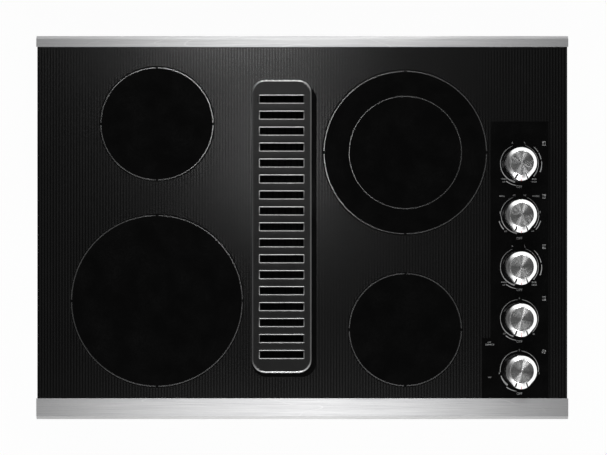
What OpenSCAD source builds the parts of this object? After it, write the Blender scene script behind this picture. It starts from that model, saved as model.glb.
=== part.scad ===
// Electric downdraft cooktop: ceramic glass in two steel trims over a burner box, with four radiant
// elements, a centre vent with a side blower below it, and five push-to-turn knobs.
// Millimetres. +X is right, +Y is the rear, +Z is up. The origin is the centre of the plan, on the
// worktop's surface, where the foam seal rests.

/* [Glass and trims] */
// Width of the glass, left to right
glass_w = 780; // [760:1:820]
// Depth of the whole cooktop over both trims
overall_d = 564.2; // [556:0.1:600]
// Thickness of the glass
glass_t = 4; // [3:0.5:6]
// Radius of the glass corners
glass_r = 3; // [1:0.5:8]
// Depth of the front trim, seen from above
front_trim_d = 30.7; // [24:0.1:40]
// Depth of the rear trim, seen from above
rear_trim_d = 16.2; // [12:0.1:30]
// Length that each trim stands past the glass at each end
trim_past = 1.4; // [0:0.1:4]
// Sheet thickness of the trims
trim_t = 1.2; // [0.8:0.1:1.6]
// Depth of the sloped nose of the trims, seen from above
nose_d = 4.4; // [3:0.1:6]
// Height that the sloped nose falls
nose_drop = 2.8; // [1:0.1:3.5]
// Height of the trims' lower edge over the worktop
trim_lift = 0.8; // [0.4:0.1:1.5]
// Length of the trims' lip under the glass
trim_lip = 9; // [4:0.5:9]

/* [Worktop cut-out, seal and bond] */
// Gap between the box wall and the edge of the worktop's cut-out
cutout_gap = 4; // [3:0.5:6]
// Thickness of the foam seal when it is pressed
seal_t = 2; // [1:0.5:4]
// Width of the foam seal
seal_w = 10; // [6:0.5:10]
// Height of the silicone bead that bonds the glass to the box
bond_t = 1.5; // [1:0.1:3]
// Width of the silicone bead
bond_w = 8; // [5:0.5:9]

/* [Burner box] */
// Width of the box outside
box_w = 720; // [716:1:722]
// Distance from the front and rear edges of the trims to the box wall
box_setback = 29.1; // [28.6:0.1:30]
// Depth of the box below the worktop's surface
box_h = 65; // [62:1:80]
// Sheet thickness of the box
box_t = 1; // [0.8:0.1:1.5]
// Corner radius of the box
box_r = 10; // [6:1:14]
// Length of a cooling slot in the floor
cool_slot_l = 46; // [30:1:60]
// Width of a cooling slot in the floor
cool_slot_w = 5; // [3:0.5:6]
// Spacing of the cooling slots
cool_pitch = 14; // [10:1:18]
// Number of cooling slots in a bank
cool_count = 7; // [4:1:8]

/* [Radiant elements] */
// Shift of the left pair of elements from the middle of their bay
left_shift = 2.65; // [1.65:0.05:4.5]
// Shift of the right pair of elements from the middle of their bay
right_shift = 3.05; // [2:0.05:4.3]
// Distance from the left rear zone to the rear wall of the box
left_rear_edge = 17.8; // [15:0.1:20]
// Distance from the left front zone to the front wall of the box
left_front_edge = 19.3; // [17:0.1:22]
// Distance from the right rear zone to the rear wall of the box
right_rear_edge = 22.9; // [20:0.1:25]
// Distance from the right front zone to the front wall of the box
right_front_edge = 20.2; // [17:0.1:23]
// Radius of the left rear zone in a box of the usual size
left_rear_r = 82.5; // [76:0.5:84]
// Radius of the left front zone in a box of the usual size
left_front_r = 125.7; // [110:0.1:127]
// Radius of the outer right rear zone in a box of the usual size
right_rear_r = 119.6; // [106:0.1:121]
// Radius of the inner right rear zone in a box of the usual size
right_inner_r = 82.7; // [60:0.1:90]
// Radius of the right front zone in a box of the usual size
right_front_r = 82.5; // [76:0.5:84]
// Width that an element's pan stands outside its zone
pan_past = 6; // [5:0.5:7]
// Depth of the pans below the glass
pan_h = 28.5; // [24:0.5:30]
// Sheet thickness of the pans
pan_t = 0.8; // [0.6:0.1:1.2]
// Height that the insulation stands over the pan's edge, up to the glass
insulation_past = 1; // [0.5:0.1:2]
// Thickness of the insulation under the ribbon
insulation_base = 14; // [10:0.5:16]
// Width of the insulation's rim
insulation_rim = 9; // [6:0.5:9]
// Height of the heating ribbon
ribbon_h = 5; // [3:0.5:6]
// Thickness of the heating ribbon
ribbon_t = 0.9; // [0.5:0.1:1.5]
// Spacing of the ribbon's turns
ribbon_pitch = 11; // [8:0.5:14]
// Radius of the ribbon's first turn
ribbon_first_r = 15; // [12:1:20]
// Half angle of the gap where the ribbon turns back
ribbon_gap = 14; // [10:1:20]
// Radius of a limiter's rod
limiter_r = 2.5; // [1.5:0.1:3]
// Length of a limiter's block
limiter_l = 20; // [14:1:22]
// Width of a limiter's block
limiter_w = 16; // [12:1:24]
// Height of a limiter's block
limiter_h = 14; // [9:1:14]

/* [Rails and pan springs] */
// Width of a rail's top
rail_w = 44; // [30:1:60]
// Height of a rail
rail_h = 28; // [20:1:30]
// Width of a rail's foot
rail_foot = 14; // [12:1:20]
// Sheet thickness of the rails and the switch bracket
rail_t = 1.2; // [0.8:0.1:1.6]
// Gap between a rail's end and the box wall
rail_end_gap = 4; // [1:0.5:10]
// Half length of a pan spring
spring_half = 30; // [22:1:36]
// Width of a pan spring
spring_w = 18; // [10:1:28]
// Thickness of a pan spring
spring_t = 0.8; // [0.5:0.1:1.2]
// Place of a pan spring from the element's middle, as a part of the zone's radius
spring_place = 0.5; // [0.45:0.05:0.6]

/* [Vent grille] */
// Place of the vent, left to right
vent_x = -30.3; // [-31:0.1:-29.5]
// Place of the vent, front to rear
vent_y = 1.6; // [-4:0.1:6]
// Width of the grille
grille_w = 88; // [86:0.5:92]
// Length that the grille stands past the plenum at each end
grille_past = 1; // [0.5:0.1:3]
// Height of the grille over the glass
grille_h = 5; // [4:0.1:7]
// Corner radius of the grille
grille_r = 20; // [18:0.5:24]
// Radius of the grille's rounded edge
grille_edge = 2.8; // [1:0.1:3.4]
// Thickness of the grille's plate
grille_t = 3.6; // [3:0.1:4]
// Number of slots in the grille
slot_count = 17; // [9:2:17]
// Length of the grille's plate before its first slot's field
slot_ends = 16.175; // [14:0.025:24]
// Length of a slot at the top
slot_l = 66; // [50:0.5:67]
// Width of a slot at the top
slot_w = 12.1; // [9:0.1:16]
// Width of the slot's sloped edge
slot_bevel = 1.8; // [0.5:0.1:2.4]
// Width of the glass that the grille covers round the vent opening
grille_cover = 7; // [6:0.5:8]
// Gap between the grille's skirt and the glass
skirt_gap = 2; // [1:0.1:2]
// Wall thickness of the skirt
skirt_t = 2; // [1:0.1:2]
// Depth of the skirt below the top of the glass
skirt_h = 12.5; // [6:0.5:16]
// Height that the grille can be lifted
grille_lift = 120; // [100:5:160]

/* [Grease filter] */
// Width of the filter
filter_w = 68; // [62:0.5:69]
// Length of the filter
filter_l = 402; // [380:1:408]
// Thickness of the filter
filter_t = 9; // [6:0.5:12]
// Width of the filter's frame
filter_rim = 6; // [4:0.5:9]
// Sheet thickness of the filter's frame
filter_skin = 1; // [0.6:0.1:1.5]
// Spacing of the mesh wires
mesh_pitch = 9; // [8:0.5:14]
// Width of the mesh wires
mesh_wire = 1.4; // [0.8:0.1:2]
// Thickness of the mesh
mesh_t = 4; // [2:0.5:5]
// Depth of the filter's seat below the top of the glass
filter_seat = 42; // [40:0.5:46]
// Gap between the filter and its seat, and round pieces that lift off
rest_gap = 0.3; // [0.2:0.05:0.5]

/* [Plenum] */
// Width of the plenum outside
plenum_w = 86; // [84:0.5:88]
// Gap between an end of the filter and the plenum's wall
filter_end_gap = 12.5; // [11:0.5:15]
// Depth of the plenum below the blower's inlet
plenum_below = 16; // [10:1:24]
// Sheet thickness of the plenum
plenum_t = 1; // [0.8:0.1:1.2]
// Corner radius of the plenum
plenum_r = 10; // [6:1:12]
// Width of the plenum's flanges
plenum_flange = 4; // [3:0.5:4.5]
// Width of the flange that hangs the plenum on the box floor
hang_flange = 11; // [10:0.5:12]
// Width of the ledge that carries the filter
ledge_w = 13; // [11:0.5:16]

/* [Blower] */
// Place of the blower's shaft, front to rear
blower_y = 57; // [50:1:60]
// Radius of the blower wheel
wheel_r = 60; // [54:1:62]
// Width of the blower wheel
wheel_w = 60; // [50:1:62]
// Number of blades
blade_count = 26; // [18:1:30]
// Depth of a blade
blade_d = 11; // [8:0.5:14]
// Thickness of a blade
blade_t = 1; // [0.8:0.1:1.5]
// Thickness of the wheel's back plate and front ring
wheel_t = 1.5; // [1:0.1:2]
// Radius of the wheel's hub
hub_r = 12; // [8:0.5:16]
// Length of the wheel's hub
hub_l = 26; // [18:1:40]
// Radius of the motor's shaft
motor_shaft_r = 4; // [3:0.5:5]
// Gap between the wheel and the scroll at the tongue
scroll_gap = 8; // [5:0.5:10]
// Growth of the scroll's radius in one full turn
scroll_growth = 44; // [30:1:50]
// Width of the scroll outside
scroll_w = 92; // [88:1:100]
// Sheet thickness of the scroll and outlet
scroll_t = 1; // [0.8:0.1:1.2]
// Length of the scroll's outlet below the shaft
outlet_drop = 92; // [84:1:100]
// Gap between the burner box and the scroll
blower_gap = 6; // [4:0.5:12]
// Radius of the inlet ring's mouth
inlet_r = 46; // [40:0.5:47]
// Depth of the inlet ring's curve
inlet_curve = 9; // [7:0.5:11]
// Radius of the motor
motor_r = 42; // [34:1:44]
// Length of the motor
motor_l = 70; // [50:1:80]
// Radius of the motor's flange
motor_flange_r = 52; // [50:0.5:54]
// Thickness of the motor's flange
motor_flange_t = 2; // [1.5:0.1:3]

/* [Outlet and damper] */
// Outside radius of the duct collar, for a 150 mm round duct
collar_r = 75; // [73:0.5:76]
// Length of the spigot that the duct slips over
spigot_l = 32; // [25:1:50]
// Width that the damper's ring over the spigot stands past it
ring_step = 1.5; // [1:0.1:3]
// Length of that ring below the damper's pivot
ring_below = 8; // [6:0.5:12]
// Sheet thickness of the collar
collar_t = 1.2; // [0.8:0.1:1.6]
// Width that the collar's square flange stands past the tube
collar_land = 9; // [8:0.5:15]
// Height of the outlet's change from square to round
transition_h = 36; // [30:1:50]
// Depth of the damper's pivot below the collar's flange
damper_drop = 30; // [26:1:36]
// Thickness of the damper's flap
flap_t = 1.5; // [1:0.1:2]
// Gap between the flap and the collar
flap_gap = 0.6; // [0.4:0.1:1.5]
// Radius of the damper's rod
rod_r = 2.5; // [1.5:0.1:3]
// Length that the rod stands out of the damper's ring at each end
rod_past = 4; // [2:0.5:8]

/* [Knobs] */
// Distance from the middle of the knobs to the box's side wall
knob_side = 40.4; // [38:0.1:42]
// Distance from the middle of the front knob to the front edge of the trim
knob_front = 72.3; // [70:0.1:76]
// Distance from the middle of the rearmost knob to the rear edge of the trim
knob_rear = 187.9; // [184:0.1:192]
// Radius of a knob
knob_r = 22.8; // [20:0.1:25]
// Height of a knob
knob_h = 21; // [17:0.1:26]
// Gap under a knob at rest
knob_gap = 4; // [3.8:0.1:6]
// Travel of a pressed knob
knob_travel = 3.2; // [2:0.1:3.4]
// Radius of a knob's rounded top edge
knob_edge = 4.2; // [2:0.1:5]
// Wall thickness of a knob
knob_wall = 2.2; // [1.5:0.1:3]
// Radius of the round insert in a knob's top
disc_r = 16.6; // [12:0.1:17]
// Thickness of the insert
disc_t = 1; // [0.6:0.1:1.6]
// Depth of the insert's face below the knob's crest
disc_sink = 0.7; // [0.2:0.1:1]
// Length of the pointer from the knob's middle
pointer_l = 26.2; // [25.5:0.1:29]
// Half width of the pointer's end
pointer_half = 9; // [6:0.1:12]
// Width of the groove that holds the pointer's line
line_w = 0.9; // [0.5:0.1:1.5]
// Depth of that groove
line_d = 0.4; // [0.2:0.1:0.8]

/* [Shafts and switches] */
// Radius of a control shaft
shaft_r = 3; // [2.5:0.1:3.5]
// Distance from the shaft's middle to its flat
shaft_flat = 2.2; // [1.8:0.1:2.4]
// Length of shaft inside a knob
shaft_in_knob = 14; // [10:0.5:15]
// Radius of the shaft's collar
shaft_collar_r = 5; // [4.5:0.1:6]
// Thickness of the shaft's collar
shaft_collar_t = 1.5; // [1:0.1:2]
// Radius of a shaft's hole in the glass
glass_hole_r = 6; // [5:0.1:7]
// Radial running gap of shafts and journals
run_gap = 0.05; // [0.03:0.01:0.08]
// Depth of the switch bracket's top below the worktop's surface
bracket_drop = 14.8; // [13:0.1:18]
// Width of the switch bracket
bracket_w = 70; // [66:1:72]
// Length of the bracket past the first and the last knob
bracket_past = 36; // [28:1:38]
// Width of the bracket's feet
bracket_foot = 12; // [10:0.5:14]
// Width of an element switch
switch_w = 34; // [30:1:38]
// Depth of an element switch
switch_d = 44; // [36:1:50]
// Height of an element switch
switch_h = 30; // [29:0.5:32]
// Width of the fan switch
fan_switch_w = 30; // [28:1:36]
// Depth of the fan switch
fan_switch_d = 34; // [28:1:40]
// Thickness of a switch's roof and floor
switch_wall = 3; // [2.5:0.1:4]
// Radius of a switch's chamber
chamber_r = 11; // [10:0.1:13]
// Radius of a switch's cam
cam_r = 9; // [7:0.1:9.8]
// Height of a switch's cam
cam_h = 9; // [6:0.1:10]
// Radius of the cam's journal
journal_r = 5; // [4:0.1:6]
// Height of the cam's journal
journal_h = 1.4; // [1:0.1:2]
// Outside radius of a switch's threaded bushing
bushing_r = 4.75; // [4.4:0.05:5.2]
// Height of the bushing over the switch
bushing_h = 11; // [8:0.5:13]
// Height of the bushing's nut
nut_h = 3; // [2:0.1:4]
// Length of a switch's terminals
tab_l = 9; // [6:0.5:12]
// Width of a switch's terminals
tab_w = 6.3; // [4.8:0.1:6.3]
// Thickness of a switch's terminals
tab_t = 0.8; // [0.5:0.1:1]

/* [Lamps, terminals and wiring box] */
// Distance from the indicator lamps to the middle of the knobs
lamp_side = 47.1; // [45:0.1:50]
// Distance that the rear lamp lies behind the front knob
lamp_behind = 33.8; // [30:0.1:38]
// Distance that the front lamp lies before the front knob
lamp_before = 16.2; // [14:0.1:18]
// Radius of a lamp
lamp_r = 4; // [2.5:0.1:5]
// Half width of a lamp's tab on the bracket
lamp_tab = 8; // [6:0.5:10]
// Distance from the middle of the wiring box to the burner box's side wall
wiring_side = 42; // [41:1:46]
// Distance from the middle of the wiring box to the burner box's rear wall
wiring_back = 67; // [62:1:72]
// Width of the terminal block
terminal_w = 60; // [50:1:66]
// Depth of the terminal block
terminal_d = 24; // [18:1:30]
// Height of the terminal block
terminal_h = 18; // [12:1:24]
// Width of the wiring box
wiring_w = 74; // [60:1:76]
// Depth of the wiring box
wiring_d = 92; // [80:1:96]
// Height of the wiring box
wiring_h = 44; // [36:1:60]
// Sheet thickness of the wiring box
wiring_t = 1.2; // [0.8:0.1:1.6]
// Radius of the conduit's knockout hole
knockout_r = 11.1; // [10:0.1:14]

/* [Hold-down brackets and screws] */
// Width of a hold-down bracket
hold_w = 50; // [40:1:60]
// Height of a hold-down bracket
hold_h = 34; // [28:1:40]
// Thickness of a hold-down bracket
hold_t = 1.5; // [1:0.1:2]
// Reach of a hold-down bracket from the box wall
hold_reach = 27; // [22:1:28]
// Length of a clamp screw over its bracket
clamp_l = 22; // [14:1:26]
// Radius of a clamp screw
clamp_r = 2.5; // [2:0.1:3]
// Radius of a screw's shank
screw_r = 2; // [1.5:0.1:2.2]
// Length of a screw's shank past the sheets
screw_past = 3; // [1.5:0.1:4]
// Radius of a screw's head
screw_head_r = 4; // [3:0.1:4.5]
// Height of a screw's head
screw_head_h = 2.2; // [1.2:0.1:3]
// Radial gap round a screw in its hole
screw_gap = 0.15; // [0.1:0.05:0.3]

/* [Hidden] */
$fn = 96;
eps = 0.5;

ZONES = ["left_rear", "left_front", "right_rear", "right_front"];
KNOBS = ["left_rear", "right_rear", "left_front", "right_front", "fan"];
FIXED = [
    "glass_top", "front_trim", "rear_trim", "worktop_seal", "glass_bond", "burner_box",
    "element_rails", "pan_springs", "element_insulation", "limiters", "switch_bracket",
    "element_switches", "fan_switch", "terminal_block", "wiring_box", "conduit_plate",
    "wiring_cover", "indicator_lamps", "plenum", "blower_housing", "inlet_ring", "blower_motor",
    "outlet_transition", "duct_collar", "hold_down_brackets", "fasteners", "vent_grille",
    "filter_frame", "filter_mesh", "blower_wheel", "motor_shaft", "damper_flap"
];

// Heights of the stack between the worktop and the top of the glass
flange_z = seal_t;
bond_z = flange_z + box_t;
glass_z = bond_z + bond_t;
glass_top_z = glass_z + glass_t;
box_floor_z = -box_h + box_t;

// Edges in plan
half_d = overall_d / 2;
trim_w = glass_w + 2 * trim_past;
glass_d = overall_d - 2 * (nose_d + trim_t);
box_d = overall_d - 2 * box_setback;
cutout_w = box_w + 2 * cutout_gap;
cutout_d = box_d + 2 * cutout_gap;
seal_out_w = cutout_w + 2 + 2 * seal_w;
seal_out_d = cutout_d + 2 + 2 * seal_w;
seal_corner = box_r + seal_w;
flange_past = 1.5;

// Vent opening and plenum
plenum_l = filter_l + 2 * (filter_end_gap + plenum_t);
grille_l = plenum_l + 2 * grille_past;
slot_pitch = (grille_l - 2 * slot_ends) / slot_count;
opening_w = grille_w - 2 * grille_cover;
opening_l = grille_l - 2 * grille_cover;
opening_r = grille_r - grille_cover;
plenum_in_w = plenum_w - 2 * plenum_t;
plenum_in_l = plenum_l - 2 * plenum_t;
plenum_side_x = vent_x + plenum_w / 2;
hang_x = plenum_w / 2 + hang_flange / 2;
hang_y = plenum_l / 2 - 40;
filter_z = glass_top_z - filter_seat;
mesh_cols = floor((filter_w - 2 * filter_skin) / mesh_pitch);
mesh_rows = floor((filter_l - 2 * filter_skin) / mesh_pitch);

// The column of knobs, and the bays for the elements left and right of the plenum
last = len(KNOBS) - 1;
knob_x = box_w / 2 - knob_side;
knob_pitch = (overall_d - knob_rear - knob_front) / last;
function knob_y(i) = half_d - knob_rear - i * knob_pitch;
left_x = (-box_w / 2 + vent_x - plenum_w / 2) / 2 + left_shift;
right_x = (plenum_side_x + knob_x - bracket_w / 2) / 2 + right_shift;

// Elements, one row each: place, zone radius and direction of the limiter. The zones grow and
// shrink with the box from its usual size.
usual_box = [720, 506];
zone_scale = min(box_w / usual_box[0], box_d / usual_box[1]);
zone_r = zone_scale * [left_rear_r, left_front_r, right_rear_r, right_front_r];
inner_r = zone_scale * right_inner_r;
zone_place = [
    [left_x, box_d / 2 - left_rear_edge - zone_r[0]],
    [left_x, -box_d / 2 + left_front_edge + zone_r[1]],
    [right_x, box_d / 2 - right_rear_edge - zone_r[2]],
    [right_x, -box_d / 2 + right_front_edge + zone_r[3]]
];
limiter_turn = [0, 45, -135, 90];
pan_z = glass_z - pan_h;
ribbon_z = pan_z + pan_t + insulation_base;
insulation_gap = 0.1;
limiter_z = (glass_z + ribbon_z + ribbon_h) / 2;
limiter_gap = 0.5;
limiter_back = 0.6;

// Rails
rail_top_z = box_floor_z + rail_h;
rail_l = box_d - 2 * (box_t + rail_end_gap);
rail_foot_x = rail_w / 2 + rail_foot / 2;
rail_screw_y = rail_l / 2 - 10;

// Scroll of the blower, in the plane across the shaft: angle 0 is the rear, 90 is up
tongue_turn = -100;
mouth_turn = 180;
scroll_first_r = wheel_r + scroll_gap;
function scroll_r(turn) = scroll_first_r + scroll_growth * (turn - tongue_turn) / 360;
function scroll_point(turn, inset) = (scroll_r(turn) - inset) * [cos(turn), sin(turn)];
blower_z = -box_h - blower_gap - scroll_r(90);
plenum_z = blower_z - inlet_r - plenum_below;
scroll_x = plenum_side_x + scroll_w / 2;
mouth_y = blower_y + (scroll_point(mouth_turn, 0)[0] + scroll_point(tongue_turn, 0)[0]) / 2;
mouth_d = scroll_point(tongue_turn, 0)[0] - scroll_point(mouth_turn, 0)[0];
mouth_z = blower_z - outlet_drop;
collar_z = mouth_z - transition_h;
collar_flange = 2 * (collar_r + collar_land);
wheel_x = scroll_x - wheel_w / 2;
motor_x = scroll_x + scroll_w / 2;
flange_screw_r = motor_flange_r - 5;
flange_screws = [45:90:315];
damper_z = collar_z - damper_drop;
ring_r = collar_r + ring_step;
ring_end_z = damper_z - ring_below;
collar_end_z = ring_end_z - spigot_l;
collar_screw = collar_flange / 2 - 9;

// Knobs, switches and lamps
knob_z = glass_top_z + knob_gap;
knob_top_z = knob_z + knob_h;
disc_z = knob_top_z - disc_sink - disc_t;
disc_gap = 0.1;
bracket_z = -bracket_drop - rail_t;
bracket_l = knob_y(0) - knob_y(last) + 2 * bracket_past;
bracket_y = (knob_y(0) + knob_y(last)) / 2;
bracket_foot_z = box_floor_z;
bracket_screw_x = bracket_w / 2 - rail_t - bracket_foot / 2;
bracket_screw_y = bracket_l / 2 - 14;
chamber_top_z = bracket_z - switch_wall;
chamber_floor_z = bracket_z - switch_h + switch_wall;
cam_z = chamber_floor_z + rest_gap;
shaft_end_z = cam_z + knob_travel - journal_h + 0.6;
shaft_top_z = knob_z + shaft_in_knob;
shaft_collar_z = chamber_top_z - rest_gap - shaft_collar_t;
lamp_x = knob_x - lamp_side;
lamp_rear_y = knob_y(last) + lamp_behind;
lamp_front_y = knob_y(last) - lamp_before;

// Wiring box
wiring_x = box_w / 2 - wiring_side;
wiring_y = box_d / 2 - wiring_back;

// Hold-down brackets
clamp_head_h = 3;
hold_z = -box_h + clamp_head_h;
hold_screw_y = hold_w / 2 - 10;
hold_screw_z = hold_z + hold_h - 9;
clamp_x = box_w / 2 + hold_reach - 8;

// A rectangle with round corners, centred
module rounded_rect(w, d, r) {
    square([w - 2 * r, d], center = true);
    square([w, d - 2 * r], center = true);
    for (x = [-1, 1], y = [-1, 1])
        translate([x * (w / 2 - r), y * (d / 2 - r)])
            circle(r);
}

// A flat ring between two rounded rectangles
module rect_ring(w, d, r, width, z, h) {
    translate([0, 0, z])
        linear_extrude(h)
            difference() {
                rounded_rect(w, d, r);
                rounded_rect(w - 2 * width, d - 2 * width, max(r - width, 1));
            }
}

// A round hole or shank along Z, from z up by h
module upright(x, y, r, z, h) {
    translate([x, y, z])
        cylinder(r = r, h = h);
}

// A screw whose head is under z and whose shank stands up through the sheets
module screw_up(x, y, z, sheets) {
    upright(x, y, screw_head_r, z - screw_head_h, screw_head_h);
    upright(x, y, screw_r, z - eps, sheets + screw_past + eps);
}

// Clearance hole for such a screw
module screw_hole(x, y, z, sheets) {
    upright(x, y, screw_r + screw_gap, z - eps, sheets + 2 * eps);
}

// Glass plate with the vent opening and one hole for each shaft
module glass_top() {
    color([0.03, 0.03, 0.035])
        translate([0, 0, glass_z])
            linear_extrude(glass_t)
                difference() {
                    rounded_rect(glass_w, glass_d, glass_r);
                    translate([vent_x, vent_y])
                        rounded_rect(opening_w, opening_l, opening_r);
                    for (i = [0:last])
                        translate([knob_x, knob_y(i)])
                            circle(glass_hole_r);
                }
}

// One trim: a folded strip that lies on the glass, slopes at its nose, and hooks under the edge.
// Its section is drawn with x outwards from the middle and y up.
module trim(depth) {
    top = glass_top_z + trim_t;
    slope = [nose_d, -nose_drop] / norm([nose_d, nose_drop]);
    inner = trim_t * [slope[1], -slope[0]];
    knee = [half_d - nose_d, top];
    chin = [half_d, top - nose_drop];
    inner_knee_x = knee[0] + inner[0] - (glass_top_z - knee[1] - inner[1]) * nose_d / nose_drop;
    inner_chin_y = chin[1] + inner[1] + (inner[0] + trim_t) * nose_drop / nose_d;
    rotate([90, 0, 90])
        translate([0, 0, -trim_w / 2])
            linear_extrude(trim_w)
                polygon([
                    [half_d - depth, glass_top_z],
                    [half_d - depth, top],
                    knee,
                    chin,
                    [half_d, trim_lift],
                    [half_d - trim_lip, trim_lift],
                    [half_d - trim_lip, trim_lift + trim_t],
                    [half_d - trim_t, trim_lift + trim_t],
                    [half_d - trim_t, inner_chin_y],
                    [inner_knee_x, glass_top_z]
                ]);
}

module front_trim() {
    color([0.75, 0.75, 0.76])
        mirror([0, 1, 0])
            trim(front_trim_d);
}

module rear_trim() {
    color([0.75, 0.75, 0.76])
        trim(rear_trim_d);
}

module worktop_seal() {
    color([0.15, 0.15, 0.15])
        rect_ring(seal_out_w, seal_out_d, seal_corner, seal_w, 0, seal_t);
}

module glass_bond() {
    color([0.1, 0.1, 0.1])
        rect_ring(seal_out_w - 2, seal_out_d - 2, seal_corner - 1, bond_w, bond_z, bond_t);
}

// Two banks of cooling slots in the box floor, in the free strips outside the rails
module cooling_slots() {
    rail_side = rail_w / 2 + rail_foot;
    left_strip = (-box_w / 2 + left_x - rail_side) / 2;
    right_strip = (right_x + rail_side + knob_x - bracket_w / 2) / 2;
    for (x = [left_strip, right_strip], i = [0:cool_count - 1])
        translate([x, (i - (cool_count - 1) / 2) * cool_pitch, -box_h - eps])
            linear_extrude(box_t + 2 * eps)
                rounded_rect(cool_slot_l, cool_slot_w, cool_slot_w / 2 - 0.1);
}

// Places of the screws that come up through the box floor, and the sheets that they hold
module floor_screws() {
    for (x = [left_x, right_x], side = [-1, 1], y = [-rail_screw_y, rail_screw_y])
        translate([x + side * rail_foot_x, y, -box_h])
            children();
    for (x = [-1, 1], y = [-1, 1])
        translate([knob_x + x * bracket_screw_x, bracket_y + y * bracket_screw_y, -box_h])
            children();
    for (x = [-1, 1], y = [-1, 1])
        translate([vent_x + x * hang_x, vent_y + y * hang_y, -box_h])
            children();
}

// Places of the screws that hold the brackets to the sides of the box, pointing inwards
module side_screws() {
    for (side = [0, 1], y = [-hold_screw_y, hold_screw_y])
        mirror([side, 0, 0])
            translate([box_w / 2 + hold_t, y, hold_screw_z])
                rotate([0, -90, 0])
                    children();
}

module burner_box() {
    color([0.6, 0.6, 0.6])
        difference() {
            union() {
                translate([0, 0, -box_h])
                    linear_extrude(box_h + flange_z + box_t)
                        rounded_rect(box_w, box_d, box_r);
                translate([0, 0, flange_z])
                    linear_extrude(box_t)
                        rounded_rect(seal_out_w + 2 * flange_past, seal_out_d + 2 * flange_past,
                            seal_corner + flange_past);
            }
            translate([0, 0, box_floor_z])
                linear_extrude(box_h * 2)
                    rounded_rect(box_w - 2 * box_t, box_d - 2 * box_t, box_r - box_t);
            translate([vent_x, vent_y, -box_h - eps])
                linear_extrude(box_t + 2 * eps)
                    rounded_rect(plenum_w + 1, plenum_l + 1, plenum_r + 0.5);
            cooling_slots();
            floor_screws()
                screw_hole(0, 0, 0, box_t);
            side_screws()
                screw_hole(0, 0, hold_t, box_t);
            upright(wiring_x, wiring_y - wiring_d / 4, knockout_r, -box_h - eps, box_t + 2 * eps);
        }
}

// Two hat-shaped rails that carry the pan springs
module element_rails() {
    color([0.65, 0.65, 0.66])
        for (x = [left_x, right_x])
            translate([x, 0, box_floor_z])
                difference() {
                    rotate([90, 0, 0])
                        linear_extrude(rail_l, center = true)
                            difference() {
                                union() {
                                    translate([-rail_w / 2, 0])
                                        square([rail_w, rail_h]);
                                    translate([-rail_w / 2 - rail_foot, 0])
                                        square([rail_w + 2 * rail_foot, rail_t]);
                                }
                                translate([-rail_w / 2 + rail_t, -eps])
                                    square([rail_w - 2 * rail_t, rail_h - rail_t + eps]);
                            }
                    for (side = [-1, 1], y = [-rail_screw_y, rail_screw_y])
                        screw_hole(side * rail_foot_x, y, 0, rail_t);
                }
}

// Bowed leaf springs that press each pan up against the glass
module pan_springs() {
    rise = pan_z - rail_top_z;
    bow_r = (spring_half * spring_half + rise * rise) / (2 * rise);
    color([0.5, 0.5, 0.52])
        for (i = [0:len(ZONES) - 1], side = [-1, 1])
            translate([
                zone_place[i][0] - spring_w / 2,
                zone_place[i][1] + side * zone_r[i] * spring_place,
                rail_top_z
            ])
                rotate([90, 0, 90])
                    linear_extrude(spring_w)
                        intersection() {
                            translate([0, rise - bow_r])
                                difference() {
                                    circle(bow_r);
                                    circle(bow_r - spring_t);
                                }
                            translate([-bow_r, 0])
                                square([2 * bow_r, bow_r]);
                        }
}

// A hole towards a limiter's side, through the wall of a pan and its insulation
module limiter_hole(i) {
    translate([0, 0, limiter_z])
        rotate([0, 90, limiter_turn[i]])
            cylinder(r = limiter_r + limiter_gap, h = zone_r[i] * 2);
}

module pan(i) {
    r = zone_r[i] + pan_past;
    color([0.7, 0.7, 0.68])
        translate([zone_place[i][0], zone_place[i][1], 0])
            difference() {
                translate([0, 0, pan_z])
                    cylinder(r = r, h = pan_h - insulation_past);
                translate([0, 0, pan_z + pan_t])
                    cylinder(r = r - pan_t, h = pan_h);
                limiter_hole(i);
            }
}

module element_insulation() {
    color([0.9, 0.88, 0.82])
        for (i = [0:len(ZONES) - 1])
            translate([zone_place[i][0], zone_place[i][1], 0])
                difference() {
                    translate([0, 0, pan_z + pan_t])
                        cylinder(r = zone_r[i] + pan_past - pan_t - insulation_gap, h = pan_h - pan_t);
                    translate([0, 0, ribbon_z])
                        cylinder(r = zone_r[i] + pan_past - pan_t - insulation_rim, h = pan_h);
                    limiter_hole(i);
                }
}

// A ribbon on edge that runs out in rings and turns back at each gap, from ring first to ring end
module ribbon(first, end) {
    translate([0, 0, ribbon_z]) {
        for (k = [first:end])
            rotate([0, 0, ribbon_gap])
                rotate_extrude(angle = 360 - 2 * ribbon_gap)
                    translate([ribbon_first_r + k * ribbon_pitch - ribbon_t / 2, 0])
                        square([ribbon_t, ribbon_h]);
        for (k = [first:end - 1])
            rotate([0, 0, k % 2 == 0 ? ribbon_gap : -ribbon_gap])
                translate([ribbon_first_r + k * ribbon_pitch - ribbon_t / 4, -ribbon_t / 2, 0])
                    cube([ribbon_pitch + ribbon_t / 2, ribbon_t, ribbon_h]);
    }
}

// The dual element has a ring of bare insulation between its inner and its outer ribbon
module heater(i) {
    edge = zone_r[i] - ribbon_t - insulation_rim + pan_past - pan_t - ribbon_first_r;
    rings = floor(edge / ribbon_pitch);
    inner = floor((inner_r - ribbon_first_r) / ribbon_pitch);
    color([0.8, 0.4, 0.25])
        translate([zone_place[i][0], zone_place[i][1], 0]) {
            if (i == 2) {
                ribbon(0, inner - 1);
                ribbon(inner + 1, rings);
            } else {
                ribbon(0, rings);
            }
        }
}

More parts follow.
